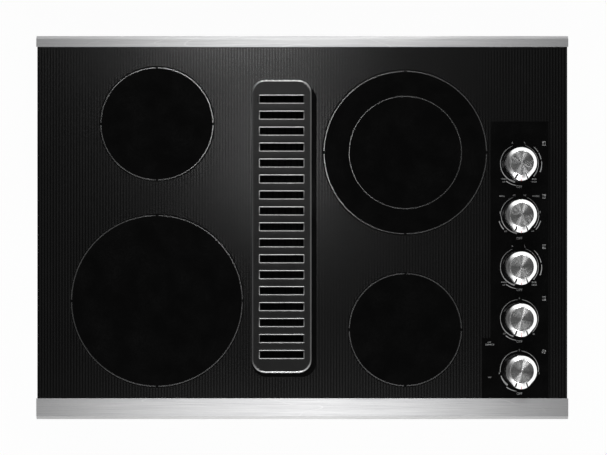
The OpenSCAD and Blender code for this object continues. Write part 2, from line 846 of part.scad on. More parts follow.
// Rod limiters that cross the elements under the glass, each with its switch block outside the pan
module limiters() {
    color([0.85, 0.85, 0.8])
        for (i = [0:len(ZONES) - 1])
            translate([zone_place[i][0], zone_place[i][1], 0])
                rotate([0, 0, limiter_turn[i]]) {
                    translate([-limiter_back * zone_r[i], 0, limiter_z])
                        rotate([0, 90, 0])
                            cylinder(r = limiter_r, h = (1 + limiter_back) * zone_r[i] + pan_past + 2);
                    translate([
                        zone_r[i] + pan_past + limiter_gap,
                        -limiter_w / 2,
                        glass_z - limiter_gap - limiter_h
                    ])
                        cube([limiter_l, limiter_w, limiter_h]);
                }
}

// A channel that stands on the box floor and carries the five switches and the lamps
module switch_bracket() {
    leg_h = bracket_z + rail_t - box_floor_z;
    color([0.65, 0.65, 0.66])
        difference() {
            union() {
                translate([knob_x, bracket_y, box_floor_z])
                    rotate([90, 0, 0])
                        linear_extrude(bracket_l, center = true)
                            difference() {
                                translate([-bracket_w / 2, 0])
                                    square([bracket_w, leg_h]);
                                translate([-bracket_w / 2 + rail_t, rail_t])
                                    square([bracket_w - 2 * rail_t, leg_h - 2 * rail_t]);
                                square([bracket_w - 2 * rail_t - 2 * bracket_foot, 4 * rail_t],
                                    center = true);
                            }
                for (y = [lamp_rear_y, lamp_front_y])
                    translate([lamp_x - lamp_tab, y - lamp_tab, bracket_z])
                        cube([knob_x - bracket_w / 2 + rail_t - lamp_x + lamp_tab, 2 * lamp_tab, rail_t]);
            }
            for (i = [0:last])
                upright(knob_x, knob_y(i), bushing_r + screw_gap, bracket_z - eps, rail_t + 2 * eps);
            for (x = [-1, 1], y = [-1, 1])
                screw_hole(knob_x + x * bracket_screw_x, bracket_y + y * bracket_screw_y,
                    box_floor_z, rail_t);
        }
}

// A push-to-turn rotary switch: block, threaded bushing, cam chamber and terminals
module rotary_switch(i, w, d) {
    color([0.85, 0.83, 0.78])
        translate([knob_x, knob_y(i), 0])
            difference() {
                union() {
                    translate([-w / 2, -d / 2, bracket_z - switch_h])
                        cube([w, d, switch_h]);
                    upright(0, 0, bushing_r, bracket_z - eps, bushing_h + eps);
                    for (x = [-1, 1], y = [-1, 1])
                        translate([
                            x * (w / 2 - 6) - tab_w / 2,
                            y * (d / 2 - 6) - tab_t / 2,
                            bracket_z - switch_h - tab_l
                        ])
                            cube([tab_w, tab_t, tab_l + eps]);
                }
                upright(0, 0, chamber_r, chamber_floor_z, chamber_top_z - chamber_floor_z);
                upright(0, 0, shaft_r + run_gap, chamber_top_z - eps, switch_wall + bushing_h + 2 * eps);
                upright(0, 0, journal_r + run_gap, cam_z - journal_h - rest_gap, journal_h + 2 * eps);
            }
}

module element_switches() {
    for (i = [0:last - 1])
        rotary_switch(i, switch_w, switch_d);
}

module fan_switch() {
    rotary_switch(last, fan_switch_w, fan_switch_d);
}

// Section of a shaft: a circle with a flat, grown by a gap
module flatted(gap) {
    difference() {
        circle(shaft_r + gap);
        translate([-2 * shaft_r, shaft_flat + gap])
            square(4 * shaft_r);
    }
}

module shaft(i) {
    color([0.7, 0.68, 0.6])
        translate([knob_x, knob_y(i), 0]) {
            translate([0, 0, shaft_end_z])
                linear_extrude(shaft_collar_z - shaft_end_z)
                    flatted(0);
            upright(0, 0, shaft_collar_r, shaft_collar_z, shaft_collar_t);
            upright(0, 0, shaft_r, shaft_collar_z, knob_z - shaft_collar_z);
            translate([0, 0, knob_z])
                linear_extrude(shaft_in_knob)
                    flatted(0);
        }
}

// Cam that the shaft turns and slides through, with one flat lobe and a journal in the floor
module cam(i) {
    color([0.9, 0.9, 0.85])
        translate([knob_x, knob_y(i), 0])
            difference() {
                union() {
                    upright(0, 0, cam_r, cam_z, cam_h - 3);
                    upright(0, 0, cam_r - 1.5, cam_z, cam_h);
                    upright(0, 0, journal_r, cam_z - journal_h, journal_h + eps);
                }
                translate([-cam_r, cam_r - 1.2, cam_z - eps])
                    cube([2 * cam_r, 2, cam_h + 2 * eps]);
                translate([0, 0, cam_z - journal_h - eps])
                    linear_extrude(journal_h + cam_h + 2 * eps)
                        flatted(run_gap);
            }
}

// Outline of a knob from above: a circle and a blunt pointer whose sides touch the circle
module knob_outline(r, length, half) {
    reach = norm([half, length]);
    turn = atan2(-length, half) + acos(r / reach);
    circle(r);
    polygon([
        r * [cos(turn), sin(turn)],
        [half, -length],
        [-half, -length],
        r * [-cos(turn), sin(turn)],
        [0, 0]
    ]);
}

module knob(i) {
    edge_z = knob_top_z - knob_edge;
    roof_z = disc_z - disc_gap - knob_wall;
    color([0.8, 0.8, 0.82])
        translate([knob_x, knob_y(i), 0])
            difference() {
                union() {
                    translate([0, 0, knob_z])
                        linear_extrude(edge_z - knob_z)
                            knob_outline(knob_r, pointer_l, pointer_half);
                    translate([0, 0, edge_z])
                        rotate_extrude()
                            intersection() {
                                union() {
                                    square([knob_r - knob_edge, knob_edge]);
                                    translate([knob_r - knob_edge, 0])
                                        circle(knob_edge);
                                }
                                square(2 * knob_r);
                            }
                    intersection() {
                        translate([0, 0, edge_z])
                            linear_extrude(knob_edge)
                                knob_outline(knob_r - knob_edge / 2, pointer_l, pointer_half);
                        rotate([90, 0, 90])
                            linear_extrude(4 * knob_r, center = true)
                                polygon([
                                    [0, edge_z],
                                    [0, knob_top_z - 0.4],
                                    [-knob_r + knob_edge / 2, knob_top_z - 0.4],
                                    [-pointer_l, edge_z + 0.6],
                                    [-pointer_l, edge_z]
                                ]);
                    }
                }
                translate([0, 0, disc_z - disc_gap])
                    cylinder(r = disc_r + disc_gap, h = knob_h);
                difference() {
                    translate([0, 0, knob_z - eps])
                        linear_extrude(roof_z - knob_z + eps)
                            knob_outline(knob_r - knob_wall, pointer_l - knob_wall,
                                pointer_half - knob_wall);
                    upright(0, 0, 2 * shaft_r, knob_z - eps, knob_h);
                }
                translate([0, 0, knob_z - eps])
                    linear_extrude(shaft_in_knob + eps + disc_gap)
                        flatted(run_gap);
                translate([-line_w / 2, -pointer_l - eps, knob_z + 2])
                    cube([line_w, line_d + eps, knob_h]);
            }
}

module knob_disc(i) {
    color([0.7, 0.7, 0.72])
        translate([knob_x, knob_y(i), disc_z])
            cylinder(r = disc_r, h = disc_t);
}

// Lamp bodies under the glass, on the bracket's tabs
module indicator_lamps() {
    color([0.8, 0.15, 0.1])
        for (y = [lamp_rear_y, lamp_front_y])
            upright(lamp_x, y, lamp_r, bracket_z + rail_t, glass_z - bracket_z - rail_t);
}

// Block with three clamp posts, beside the wiring box's hole
module terminal_block() {
    color([0.15, 0.15, 0.15])
        translate([wiring_x, wiring_y + wiring_d / 4, box_floor_z]) {
            translate([-terminal_w / 2, -terminal_d / 2, 0])
                cube([terminal_w, terminal_d, terminal_h - 5]);
            for (k = [-1, 0, 1])
                translate([k * terminal_w / 3 - terminal_w / 8, -terminal_d / 2, 0])
                    cube([terminal_w / 4, terminal_d / 2, terminal_h]);
        }
}

// Sheet box under the burner box, open below and at its rear
module wiring_box() {
    color([0.6, 0.6, 0.6])
        difference() {
            translate([wiring_x - wiring_w / 2, wiring_y - wiring_d / 2, -box_h - wiring_h])
                cube([wiring_w, wiring_d - wiring_t, wiring_h]);
            translate([
                wiring_x - wiring_w / 2 + wiring_t,
                wiring_y - wiring_d / 2 + wiring_t,
                -box_h - wiring_h - eps
            ])
                cube([wiring_w - 2 * wiring_t, wiring_d, wiring_h - wiring_t + eps]);
            upright(wiring_x, wiring_y - wiring_d / 4, knockout_r, -box_h - 2 * wiring_t, 4 * wiring_t);
        }
}

// Plate with the conduit's hole, which closes the wiring box at its rear
module conduit_plate() {
    color([0.58, 0.58, 0.58])
        translate([wiring_x, wiring_y + wiring_d / 2, -box_h - wiring_h / 2])
            rotate([90, 0, 0])
                linear_extrude(wiring_t)
                    difference() {
                        square([wiring_w, wiring_h], center = true);
                        circle(knockout_r);
                    }
}

module wiring_cover() {
    color([0.55, 0.55, 0.55])
        translate([
            wiring_x - wiring_w / 2,
            wiring_y - wiring_d / 2,
            -box_h - wiring_h - wiring_t
        ])
            cube([wiring_w, wiring_d, wiring_t]);
}

// Grille: a slotted plate with a rounded edge, a foot on the glass and a skirt in the opening.
// The slots' sloped sides come from two crossed cuts.
module vent_grille() {
    foot_z = glass_top_z + rest_gap;
    top_z = glass_top_z + grille_h;
    core_w = grille_w - 2 * grille_r;
    core_l = grille_l - 2 * grille_r;
    color([0.04, 0.04, 0.04])
        translate([vent_x, vent_y, 0])
            difference() {
                union() {
                    translate([0, 0, foot_z])
                        linear_extrude(top_z - grille_edge - foot_z)
                            rounded_rect(grille_w, grille_l, grille_r);
                    translate([0, 0, top_z - grille_edge]) {
                        linear_extrude(grille_edge)
                            rounded_rect(grille_w - 2 * grille_edge, grille_l - 2 * grille_edge,
                                grille_r - grille_edge);
                        for (turn = [0, 90, 180, 270])
                            rotate([0, 0, turn])
                                grille_edge_side(turn % 180 == 0 ? core_w : core_l,
                                    turn % 180 == 0 ? core_l : core_w);
                    }
                    rect_ring(opening_w - 2 * skirt_gap, opening_l - 2 * skirt_gap,
                        opening_r - skirt_gap, skirt_t, glass_top_z - skirt_h, skirt_h + grille_h - 1);
                }
                translate([0, 0, foot_z - eps])
                    linear_extrude(top_z - grille_t - foot_z + eps)
                        difference() {
                            rounded_rect(grille_w - 7, grille_l - 7, grille_r - 3.5);
                            rounded_rect(opening_w - 2 * skirt_gap, opening_l - 2 * skirt_gap,
                                opening_r - skirt_gap);
                        }
                translate([0, 0, foot_z - eps])
                    linear_extrude(top_z - grille_t - foot_z + eps)
                        rounded_rect(opening_w - 2 * skirt_gap - 2 * skirt_t,
                            opening_l - 2 * skirt_gap - 2 * skirt_t, opening_r - skirt_gap - skirt_t);
                slot_cut(top_z);
            }
}

// The quarter-round edge of one side and the corner after it
module grille_edge_side(side_w, side_l) {
    translate([side_w / 2 + grille_r - grille_edge, 0, 0])
        rotate([90, 0, 0])
            linear_extrude(side_l, center = true)
                quarter_round();
    translate([side_w / 2, side_l / 2, 0])
        rotate_extrude(angle = 90)
            translate([grille_r - grille_edge, 0])
                quarter_round();
}

module quarter_round() {
    intersection() {
        circle(grille_edge);
        square(grille_edge);
    }
}

// All slots at once: prisms along the slots, cut by one long prism across them
module slot_cut(top_z) {
    deep = grille_t + eps;
    intersection() {
        rotate([90, 0, 90])
            linear_extrude(grille_w, center = true)
                for (k = [0:slot_count - 1])
                    translate([(k - (slot_count - 1) / 2) * slot_pitch, top_z])
                        sloped_cut(slot_w, deep);
        rotate([90, 0, 0])
            linear_extrude(grille_l, center = true)
                translate([0, top_z])
                    sloped_cut(slot_l, deep);
    }
}

// Section of a slot that narrows by the bevel on each side, then runs straight down
module sloped_cut(w, deep) {
    polygon([
        [-w / 2 - eps, eps],
        [w / 2 + eps, eps],
        [w / 2 - slot_bevel, -slot_bevel],
        [w / 2 - slot_bevel, -deep],
        [-w / 2 + slot_bevel, -deep],
        [-w / 2 + slot_bevel, -slot_bevel]
    ]);
}

// Frame of the filter: a channel folded round the mesh's edge
module filter_frame() {
    groove = filter_t - 2 * filter_skin;
    color([0.75, 0.76, 0.78])
        translate([vent_x, vent_y, filter_z])
            difference() {
                linear_extrude(filter_t)
                    difference() {
                        rounded_rect(filter_w, filter_l, 4);
                        square([filter_w - 2 * filter_rim, filter_l - 2 * filter_rim], center = true);
                    }
                translate([0, 0, filter_skin])
                    linear_extrude(groove)
                        square([filter_w - 2 * filter_skin, filter_l - 2 * filter_skin], center = true);
            }
}

// Mesh pack of the filter, as a grid of wires
module filter_mesh() {
    edge_w = filter_w - 2 * filter_skin - 0.4;
    edge_l = filter_l - 2 * filter_skin - 0.4;
    color([0.7, 0.71, 0.73])
        translate([vent_x, vent_y, filter_z + (filter_t - mesh_t) / 2])
            linear_extrude(mesh_t)
                difference() {
                    square([edge_w, edge_l], center = true);
                    for (x = [0:mesh_cols - 1], y = [0:mesh_rows - 1])
                        translate([
                            (x - (mesh_cols - 1) / 2) * mesh_pitch,
                            (y - (mesh_rows - 1) / 2) * mesh_pitch
                        ])
                            square(mesh_pitch - mesh_wire, center = true);
                }
}

// Duct under the vent: top flange on the glass, ledges for the filter, a flange on the box floor
module plenum() {
    tube_h = glass_z - plenum_z;
    ledge_top_z = filter_z - rest_gap;
    color([0.6, 0.6, 0.62])
        difference() {
            translate([vent_x, vent_y, 0]) {
                rect_ring(plenum_w, plenum_l, plenum_r, plenum_t, plenum_z, tube_h);
                translate([0, 0, plenum_z])
                    linear_extrude(plenum_t)
                        rounded_rect(plenum_w, plenum_l, plenum_r);
                rect_ring(plenum_w + 2 * plenum_flange, plenum_l + 2 * plenum_flange,
                    plenum_r + plenum_flange, plenum_flange + plenum_t, glass_z - plenum_t, plenum_t);
                rect_ring(plenum_w + 2 * hang_flange, plenum_l + 2 * hang_flange,
                    plenum_r + hang_flange, hang_flange + plenum_t, box_floor_z, plenum_t);
                for (side = [-1, 1])
                    translate([
                        side * (plenum_in_w / 2 - ledge_w / 2) - (ledge_w + plenum_t) / 2,
                        -plenum_in_l / 2 + plenum_r,
                        ledge_top_z - plenum_t
                    ])
                        cube([ledge_w + plenum_t, plenum_in_l - 2 * plenum_r, plenum_t]);
            }
            for (x = [-1, 1], y = [-1, 1])
                screw_hole(vent_x + x * hang_x, vent_y + y * hang_y, box_floor_z, plenum_t);
            translate([plenum_side_x - plenum_t - eps, blower_y, blower_z])
                rotate([0, 90, 0])
                    cylinder(r = inlet_r + inlet_curve, h = plenum_t + 2 * eps);
        }
}

// Outline of the scroll: a widening curve from the tongue, then straight down to the mouth
module scroll_outline(inset, past) {
    steps = 40;
    span = mouth_turn - tongue_turn;
    start = scroll_point(tongue_turn, inset);
    end = scroll_point(mouth_turn, inset);
    polygon(concat(
        [for (k = [0:steps]) scroll_point(tongue_turn + span * k / steps, inset)],
        [[end[0], -outlet_drop - past], [start[0] - inset, -outlet_drop - past]]
    ));
}

// Turns a drawing across the shaft into the model, from x along +X
module across_shaft(x) {
    translate([x, blower_y, blower_z])
        rotate([90, 0, 90])
            children();
}

module blower_housing() {
    color([0.62, 0.62, 0.64])
        difference() {
            across_shaft(plenum_side_x)
                linear_extrude(scroll_w)
                    scroll_outline(0, 0);
            across_shaft(plenum_side_x + scroll_t)
                linear_extrude(scroll_w - 2 * scroll_t)
                    scroll_outline(scroll_t, eps);
            across_shaft(plenum_side_x - eps)
                cylinder(r = inlet_r + inlet_curve, h = 2 * scroll_t);
            across_shaft(motor_x - scroll_t - eps)
                cylinder(r = motor_r + 1, h = 2 * scroll_t);
            across_shaft(motor_x - scroll_t - eps)
                for (turn = flange_screws)
                    rotate([0, 0, turn])
                        translate([flange_screw_r, 0, 0])
                            cylinder(r = screw_r + screw_gap, h = 2 * scroll_t);
        }
}

// Curved mouth ring that leads the air into the wheel
module inlet_ring() {
    color([0.55, 0.55, 0.57])
        across_shaft(plenum_side_x + scroll_t)
            rotate_extrude()
                union() {
                    translate([inlet_r + inlet_curve - 1, 0])
                        square([9, 1]);
                    intersection() {
                        translate([inlet_r + inlet_curve, inlet_curve])
                            difference() {
                                circle(inlet_curve);
                                circle(inlet_curve - 1);
                            }
                        square([inlet_r + inlet_curve, inlet_curve]);
                    }
                }
}

module blower_motor() {
    color([0.35, 0.36, 0.4])
        across_shaft(motor_x)
            difference() {
                union() {
                    cylinder(r = motor_flange_r, h = motor_flange_t);
                    cylinder(r = motor_r, h = motor_l);
                    cylinder(r = motor_r / 3, h = motor_l + 8);
                }
                for (turn = flange_screws)
                    rotate([0, 0, turn])
                        translate([flange_screw_r, 0, -eps])
                            cylinder(r = screw_r + screw_gap, h = motor_flange_t + 2 * eps);
                translate([0, 0, -eps])
                    cylinder(r = motor_shaft_r + run_gap, h = motor_l / 2 + eps);
            }
}

module motor_shaft() {
    color([0.75, 0.75, 0.77])
        across_shaft(wheel_x + wheel_w - hub_l - 3)
            cylinder(r = motor_shaft_r, h = hub_l + 3 + motor_x - wheel_x - wheel_w + motor_l / 2 - 2);
}

// Wheel with forward-curved blades between a back plate and a front ring
module blower_wheel() {
    color([0.3, 0.3, 0.32])
        difference() {
            union() {
                across_shaft(wheel_x + wheel_w - wheel_t)
                    cylinder(r = wheel_r, h = wheel_t);
                across_shaft(wheel_x)
                    linear_extrude(wheel_t)
                        difference() {
                            circle(wheel_r);
                            circle(wheel_r - blade_d);
                        }
                across_shaft(wheel_x)
                    linear_extrude(wheel_w)
                        for (k = [0:blade_count - 1])
                            rotate([0, 0, k * 360 / blade_count])
                                blade();
                across_shaft(wheel_x + wheel_w - hub_l)
                    cylinder(r = hub_r, h = hub_l);
            }
            across_shaft(wheel_x - eps)
                cylinder(r = motor_shaft_r + 0.02, h = wheel_w + 2 * eps);
        }
}

// Section of one blade: an arc of a circle between the two radii of the ring of blades
module blade() {
    bow = blade_d * 0.7;
    intersection() {
        translate([wheel_r - blade_d / 2, bow / 2])
            difference() {
                circle(bow);
                circle(bow - blade_t);
                translate([-2 * bow, 0])
                    square(4 * bow);
            }
        difference() {
            circle(wheel_r - 0.2);
            circle(wheel_r - blade_d + 0.2);
        }
    }
}

// Sheet duct that changes from the scroll's square mouth to the round collar
module outlet_transition() {
    color([0.62, 0.62, 0.64])
        difference() {
            transition_form(0, 0);
            transition_form(scroll_t, eps);
        }
}

module transition_form(inset, past) {
    hull() {
        translate([scroll_x, mouth_y, mouth_z - 0.1 + past])
            linear_extrude(0.1)
                square([scroll_w - 2 * inset, mouth_d - 2 * inset], center = true);
        translate([scroll_x, mouth_y, collar_z - past])
            cylinder(r = collar_r - inset, h = 0.1, $fn = 32);
    }
}

// Places of the collar's flange screws
module collar_screws() {
    for (x = [-1, 1], y = [-1, 1])
        translate([scroll_x + x * collar_screw, mouth_y + y * collar_screw, 0])
            children();
}

// Round duct collar with a square flange and the two bores of the damper's rod
module duct_collar() {
    color([0.66, 0.66, 0.68])
        difference() {
            translate([scroll_x, mouth_y, 0])
                difference() {
                    union() {
                        translate([0, 0, collar_z - collar_t])
                            linear_extrude(collar_t)
                                rounded_rect(collar_flange, collar_flange, 8);
                        upright(0, 0, ring_r, ring_end_z, collar_z - collar_t / 2 - ring_end_z);
                        upright(0, 0, collar_r, collar_end_z, spigot_l + eps);
                    }
                    upright(0, 0, collar_r - collar_t, collar_end_z - eps,
                        collar_z - collar_end_z + 2 * eps);
                    translate([-2 * collar_r, 0, damper_z])
                        rotate([0, 90, 0])
                            cylinder(r = rod_r + run_gap, h = 4 * collar_r);
                }
            collar_screws()
                upright(0, 0, screw_r + screw_gap, collar_z - 2 * collar_t, 3 * collar_t);
        }
}

// Round flap on a rod through its middle
module damper_flap() {
    color([0.7, 0.7, 0.72])
        translate([scroll_x, mouth_y, damper_z]) {
            translate([0, 0, -flap_t / 2])
                cylinder(r = collar_r - collar_t - flap_gap, h = flap_t);
            translate([-ring_r - rod_past, 0, 0])
                rotate([0, 90, 0])
                    cylinder(r = rod_r, h = 2 * (ring_r + rod_past));
        }
}

// An angle on each side of the box, with an arm that reaches under the worktop
module hold_down_brackets() {
    color([0.7, 0.7, 0.72])
        for (side = [0, 1])
            mirror([side, 0, 0])
                difference() {
                    union() {
                        translate([box_w / 2, -hold_w / 2, hold_z])
                            cube([hold_t, hold_w, hold_h]);
                        translate([box_w / 2, -hold_w / 2, hold_z])
                            cube([hold_reach, hold_w, hold_t]);
                    }
                    upright(clamp_x, 0, clamp_r + screw_gap, hold_z - eps, hold_t + 2 * eps);
                    for (y = [-hold_screw_y, hold_screw_y])
                        translate([box_w / 2 - eps, y, hold_screw_z])
                            rotate([0, 90, 0])
                                cylinder(r = screw_r + screw_gap, h = hold_t + 2 * eps);
                }
}

// Screws and nuts, each a solid of its own
module fasteners() {
    nut_z = bracket_z + rail_t;
    color([0.8, 0.8, 0.8]) {
        floor_screws()
            screw_up(0, 0, 0, box_t + rail_t);
        side_screws()
            screw_up(0, 0, 0, hold_t + box_t);
        for (side = [0, 1])
            mirror([side, 0, 0]) {
                upright(clamp_x, 0, 2 * clamp_r, hold_z - clamp_head_h, clamp_head_h);
                upright(clamp_x, 0, clamp_r, hold_z - eps, hold_t + clamp_l + eps);
            }
        for (i = [0:last])
            difference() {
                translate([knob_x, knob_y(i), nut_z])
                    cylinder(r = 1.6 * bushing_r, h = nut_h, $fn = 6);
                upright(knob_x, knob_y(i), bushing_r + run_gap, nut_z - eps, nut_h + 2 * eps);
            }
        across_shaft(motor_x)
            for (turn = flange_screws)
                rotate([0, 0, turn])
                    translate([flange_screw_r, 0, 0]) {
                        upright(0, 0, screw_head_r, motor_flange_t, screw_head_h);
                        upright(0, 0, screw_r, -scroll_t - screw_past,
                            scroll_t + screw_past + motor_flange_t + eps);
                    }
        collar_screws() {
            upright(0, 0, screw_head_r, collar_z - collar_t - screw_head_h, screw_head_h);
            upright(0, 0, screw_r, collar_z - collar_t - eps, collar_t + screw_past + eps);
        }
    }
}

glass_top();
front_trim();
rear_trim();
worktop_seal();
glass_bond();
burner_box();
element_rails();
pan_springs();
element_insulation();
limiters();
switch_bracket();
element_switches();
fan_switch();
terminal_block();
wiring_box();
conduit_plate();
wiring_cover();
indicator_lamps();
plenum();
blower_housing();
inlet_ring();
blower_motor();
outlet_transition();
duct_collar();
hold_down_brackets();
fasteners();
vent_grille();
filter_frame();
filter_mesh();
blower_wheel();
motor_shaft();
damper_flap();
for (i = [0:len(ZONES) - 1]) {
    pan(i);
    heater(i);
}
for (i = [0:last]) {
    knob(i);
    knob_disc(i);
    shaft(i);
    cam(i);
}
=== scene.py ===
"""Looks of the electric downdraft cooktop: finishes, fine surfaces, printed graphics, lamps and camera."""
import math

import bpy
import numpy as np
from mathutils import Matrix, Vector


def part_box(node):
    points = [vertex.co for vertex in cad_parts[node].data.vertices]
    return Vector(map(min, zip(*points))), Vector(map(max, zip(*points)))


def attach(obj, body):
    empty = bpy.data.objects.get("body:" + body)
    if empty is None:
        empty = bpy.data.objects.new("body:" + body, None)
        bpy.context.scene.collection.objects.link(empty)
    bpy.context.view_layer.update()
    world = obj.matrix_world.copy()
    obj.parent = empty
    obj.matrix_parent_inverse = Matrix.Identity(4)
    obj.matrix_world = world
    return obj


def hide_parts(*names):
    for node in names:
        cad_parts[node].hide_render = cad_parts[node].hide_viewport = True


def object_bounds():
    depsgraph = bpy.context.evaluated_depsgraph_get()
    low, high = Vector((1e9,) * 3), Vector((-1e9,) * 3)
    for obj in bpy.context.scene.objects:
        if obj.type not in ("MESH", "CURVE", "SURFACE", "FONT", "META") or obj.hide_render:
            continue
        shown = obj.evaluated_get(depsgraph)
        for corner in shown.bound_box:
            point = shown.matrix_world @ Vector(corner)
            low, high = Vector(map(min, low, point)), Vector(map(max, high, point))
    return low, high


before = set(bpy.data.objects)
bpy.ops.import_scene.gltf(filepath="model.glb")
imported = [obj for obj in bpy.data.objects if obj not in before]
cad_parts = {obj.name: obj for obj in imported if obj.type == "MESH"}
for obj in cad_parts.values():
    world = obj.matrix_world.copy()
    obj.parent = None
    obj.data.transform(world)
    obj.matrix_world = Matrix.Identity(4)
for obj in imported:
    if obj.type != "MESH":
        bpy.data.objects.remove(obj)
cad_box = [list(corner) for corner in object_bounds()]

MM = 0.001
GLASS_FACE = 8.5            # height of the glass above the worktop, mm
PRINT_LIFT = 0.06           # the printed enamel stands this much above the glass, mm
PRINT_SINK = 0.02           # and reaches this much into it
KNOBS = ("left_rear", "right_rear", "left_front", "right_front", "fan")
QUARTERS = (0.0, 90.0, 180.0, 270.0)

# Cooking zones: place of the middle, outer ring radius and inner ring radius, mm
ZONES = {
    "left_rear": (-214.0, 152.7, 82.5, None),
    "left_front": (-214.0, -108.0, 125.7, None),
    "right_rear": (151.7, 110.5, 119.6, 82.7),
    "right_front": (151.7, -150.3, 82.5, None),
}
RING_LINE = 1.5             # width of a zone's printed ring
INNER_LINE = 0.8 * RING_LINE
RING_GAP = 4.0              # break in the ring at the four quarters
ZONE_MARGIN = 2.7           # plain glass that is left outside a ring

# The plain control field on the right: left edge, its step outward, right edge and the two heights, mm
FIELD_LEFT = 276.8
FIELD_STEP = 264.1
FIELD_RIGHT = 362.7
FIELD_TOP = 156.1
FIELD_STEP_TOP = -162.4

# The painted shadow of the vent grille: a band of plain glass without print round the vent, set off to the
# right of and below the grille; middle, half width, half length and corner of its rounded rectangle, mm
SHADOW_MIDDLE = (-26.8, -5.0)
SHADOW_HALF = (47.9, 215.2)
SHADOW_CORNER = 22.0

# The fine print on the glass
BARE_TONE = 0.0012          # tone of the glass without print
PRINT_PITCH = 4.3           # spacing of its lines, mm
DOT_PITCH = 1.05            # spacing of the dots along each line, mm
EDGE_BLUR = 0.2             # half the width of its soft edge, mm
FILM_DARK = 0.012           # reflection between the lines
FILM_LIGHT = 0.145          # reflection on the lines
FILM_ROUGH = 0.19           # roughness that it adds to the glass

# The trim's folded front edge
BEND_TONE = 0.55            # its tone
BEND_ROUGH = 0.2            # roughness that the fold adds to the steel
BEND_FACING = (-0.5, -0.12)   # rearward part of the normal over which the fold's look fades out

# Dust on the parts and, a little darker, on the zinc-coated sheet
HOUSE_DUST = (0.32, 0.30, 0.27, 1.0)
SHEET_DUST = (0.30, 0.28, 0.25, 1.0)
DUST_ROUGH = 0.4            # roughness that full dust adds

# The grained finishes
GRAIN_SHARE = 0.6           # share of the grain in the tone, the rest is the clouds'
CLOUD_CONTRAST = 1.6


# Shader helpers

def plug(tree, socket, value):
    """Gives an input a plain value, or links another node's socket to it."""
    if isinstance(value, bpy.types.NodeSocket):
        tree.links.new(value, socket)
    else:
        socket.default_value = value


def add(tree, kind, inputs=None, **settings):
    """Adds one shader node with its settings; an input takes a plain value or another node's socket."""
    made = tree.nodes.new("ShaderNode" + kind)
    for name, value in settings.items():
        setattr(made, name, value)
    for key, value in (inputs or {}).items():
        plug(tree, made.inputs[key], value)
    return made


def reckon(tree, operation, first, second=0.0, third=0.0):
    """One step of arithmetic on two or three values."""
    return add(tree, "Math", {0: first, 1: second, 2: third}, operation=operation).outputs[0]


def product(tree, first, second):
    """Two values multiplied."""
    return reckon(tree, "MULTIPLY", first, second)


def weighed(tree, first, second, share):
    """Two values added, the first with the given share and the second with what is left of 1."""
    return reckon(tree, "MULTIPLY_ADD", first, share, product(tree, second, 1.0 - share))


def spread(tree, value, low, high, start=0.0, end=1.0):
    """Takes the range low to high of a value, held at its ends, to the range start to end."""
    inputs = {"Value": value, "From Min": low, "From Max": high, "To Min": start, "To Max": end}
    return add(tree, "MapRange", inputs, clamp=True).outputs["Result"]


def between(tree, share, start, end):
    """The value that a share of 0 to 1 picks between start and end."""
    return spread(tree, share, 0.0, 1.0, start, end)


def blend_colour(tree, share, first, second):
    """Mixes two colours by a mask."""
    return add(tree, "Mix", {"Factor": share, 6: first, 7: second}, data_type="RGBA").outputs[2]


def place_on_piece(tree):
    """The place on the piece, in metres of the shared frame."""
    return add(tree, "TexCoord").outputs["Object"]


def normal_part(tree, axis):
    """One part of the direction that the surface faces: axis 1 points to the rear, axis 2 up."""
    normal = add(tree, "NewGeometry").outputs["Normal"]
    return add(tree, "SeparateXYZ", {0: normal}).outputs[axis]


def grey(level, warm=0.0):
    """A neutral colour of the given level, a little warmer or cooler."""
    return (level * (1.0 + warm), level, level * (1.0 - warm), 1.0)


def effect(name, inputs, outputs):
    """Starts a shared effect: a node group with named inputs (kind, value) and named outputs."""
    group = bpy.data.node_groups.new(name, "ShaderNodeTree")
    for label, (kind, value) in inputs.items():
        socket = group.interface.new_socket(label, in_out="INPUT", socket_type="NodeSocket" + kind)
        if value is not None:
            socket.default_value = value
    for label, kind in outputs.items():
        group.interface.new_socket(label, in_out="OUTPUT", socket_type="NodeSocket" + kind)
    source = group.nodes.new("NodeGroupInput")
    sink = group.nodes.new("NodeGroupOutput")
    return group, source.outputs, sink.inputs


def use(tree, group, values):
    """Places a shared effect in a material with the material's own values."""
    return add(tree, "Group", values, node_tree=group).outputs


# Shared effects

def stretched(group, given):
    """An effect's place divided by its Stretch, axis by axis."""
    parts = {0: given["Vector"], 1: given["Stretch"]}
    return add(group, "VectorMath", parts, operation="DIVIDE").outputs[0]


def make_mottle():
    """Soft spots of the given size, stretched along the axes by Stretch: grain, clouds or brushing."""
    group, given, out = effect(
        "mottle",
        {"Vector": ("Vector", None), "Size": ("Float", 0.001), "Stretch": ("Vector", (1.0, 1.0, 1.0)),
         "Contrast": ("Float", 1.0)},
        {"Mask": "Float", "Height": "Float"},
    )
    scaled = stretched(group, given)
    size = reckon(group, "DIVIDE", 1.0, given["Size"])
    noise = add(group, "TexNoise", {"Vector": scaled, "Scale": size, "Detail": 3.0, "Roughness": 0.6})
    height = noise.outputs["Fac"]
    centred = reckon(group, "SUBTRACT", height, 0.5)
    mask = reckon(group, "MULTIPLY_ADD", centred, product(group, given["Contrast"], 2.2), 0.5)
    group.links.new(add(group, "Clamp", {"Value": mask}).outputs[0], out["Mask"])
    group.links.new(height, out["Height"])
    return group


def make_hairlines():
    """Thin wandering scratches: the lines along which a stretched noise crosses its middle value."""
    group, given, out = effect(
        "hairlines",
        {"Vector": ("Vector", None), "Spacing": ("Float", 0.01), "Stretch": ("Vector", (1.0, 1.0, 1.0))},
        {"Mask": "Float"},
    )
    scaled = stretched(group, given)
    size = reckon(group, "DIVIDE", 1.0, given["Spacing"])
    noise = add(group, "TexNoise", {"Vector": scaled, "Scale": size, "Detail": 2.0}).outputs["Fac"]
    off = reckon(group, "ABSOLUTE", reckon(group, "SUBTRACT", noise, 0.5))
    group.links.new(spread(group, off, 0.0, 0.006, 1.0, 0.0), out["Mask"])
    return group


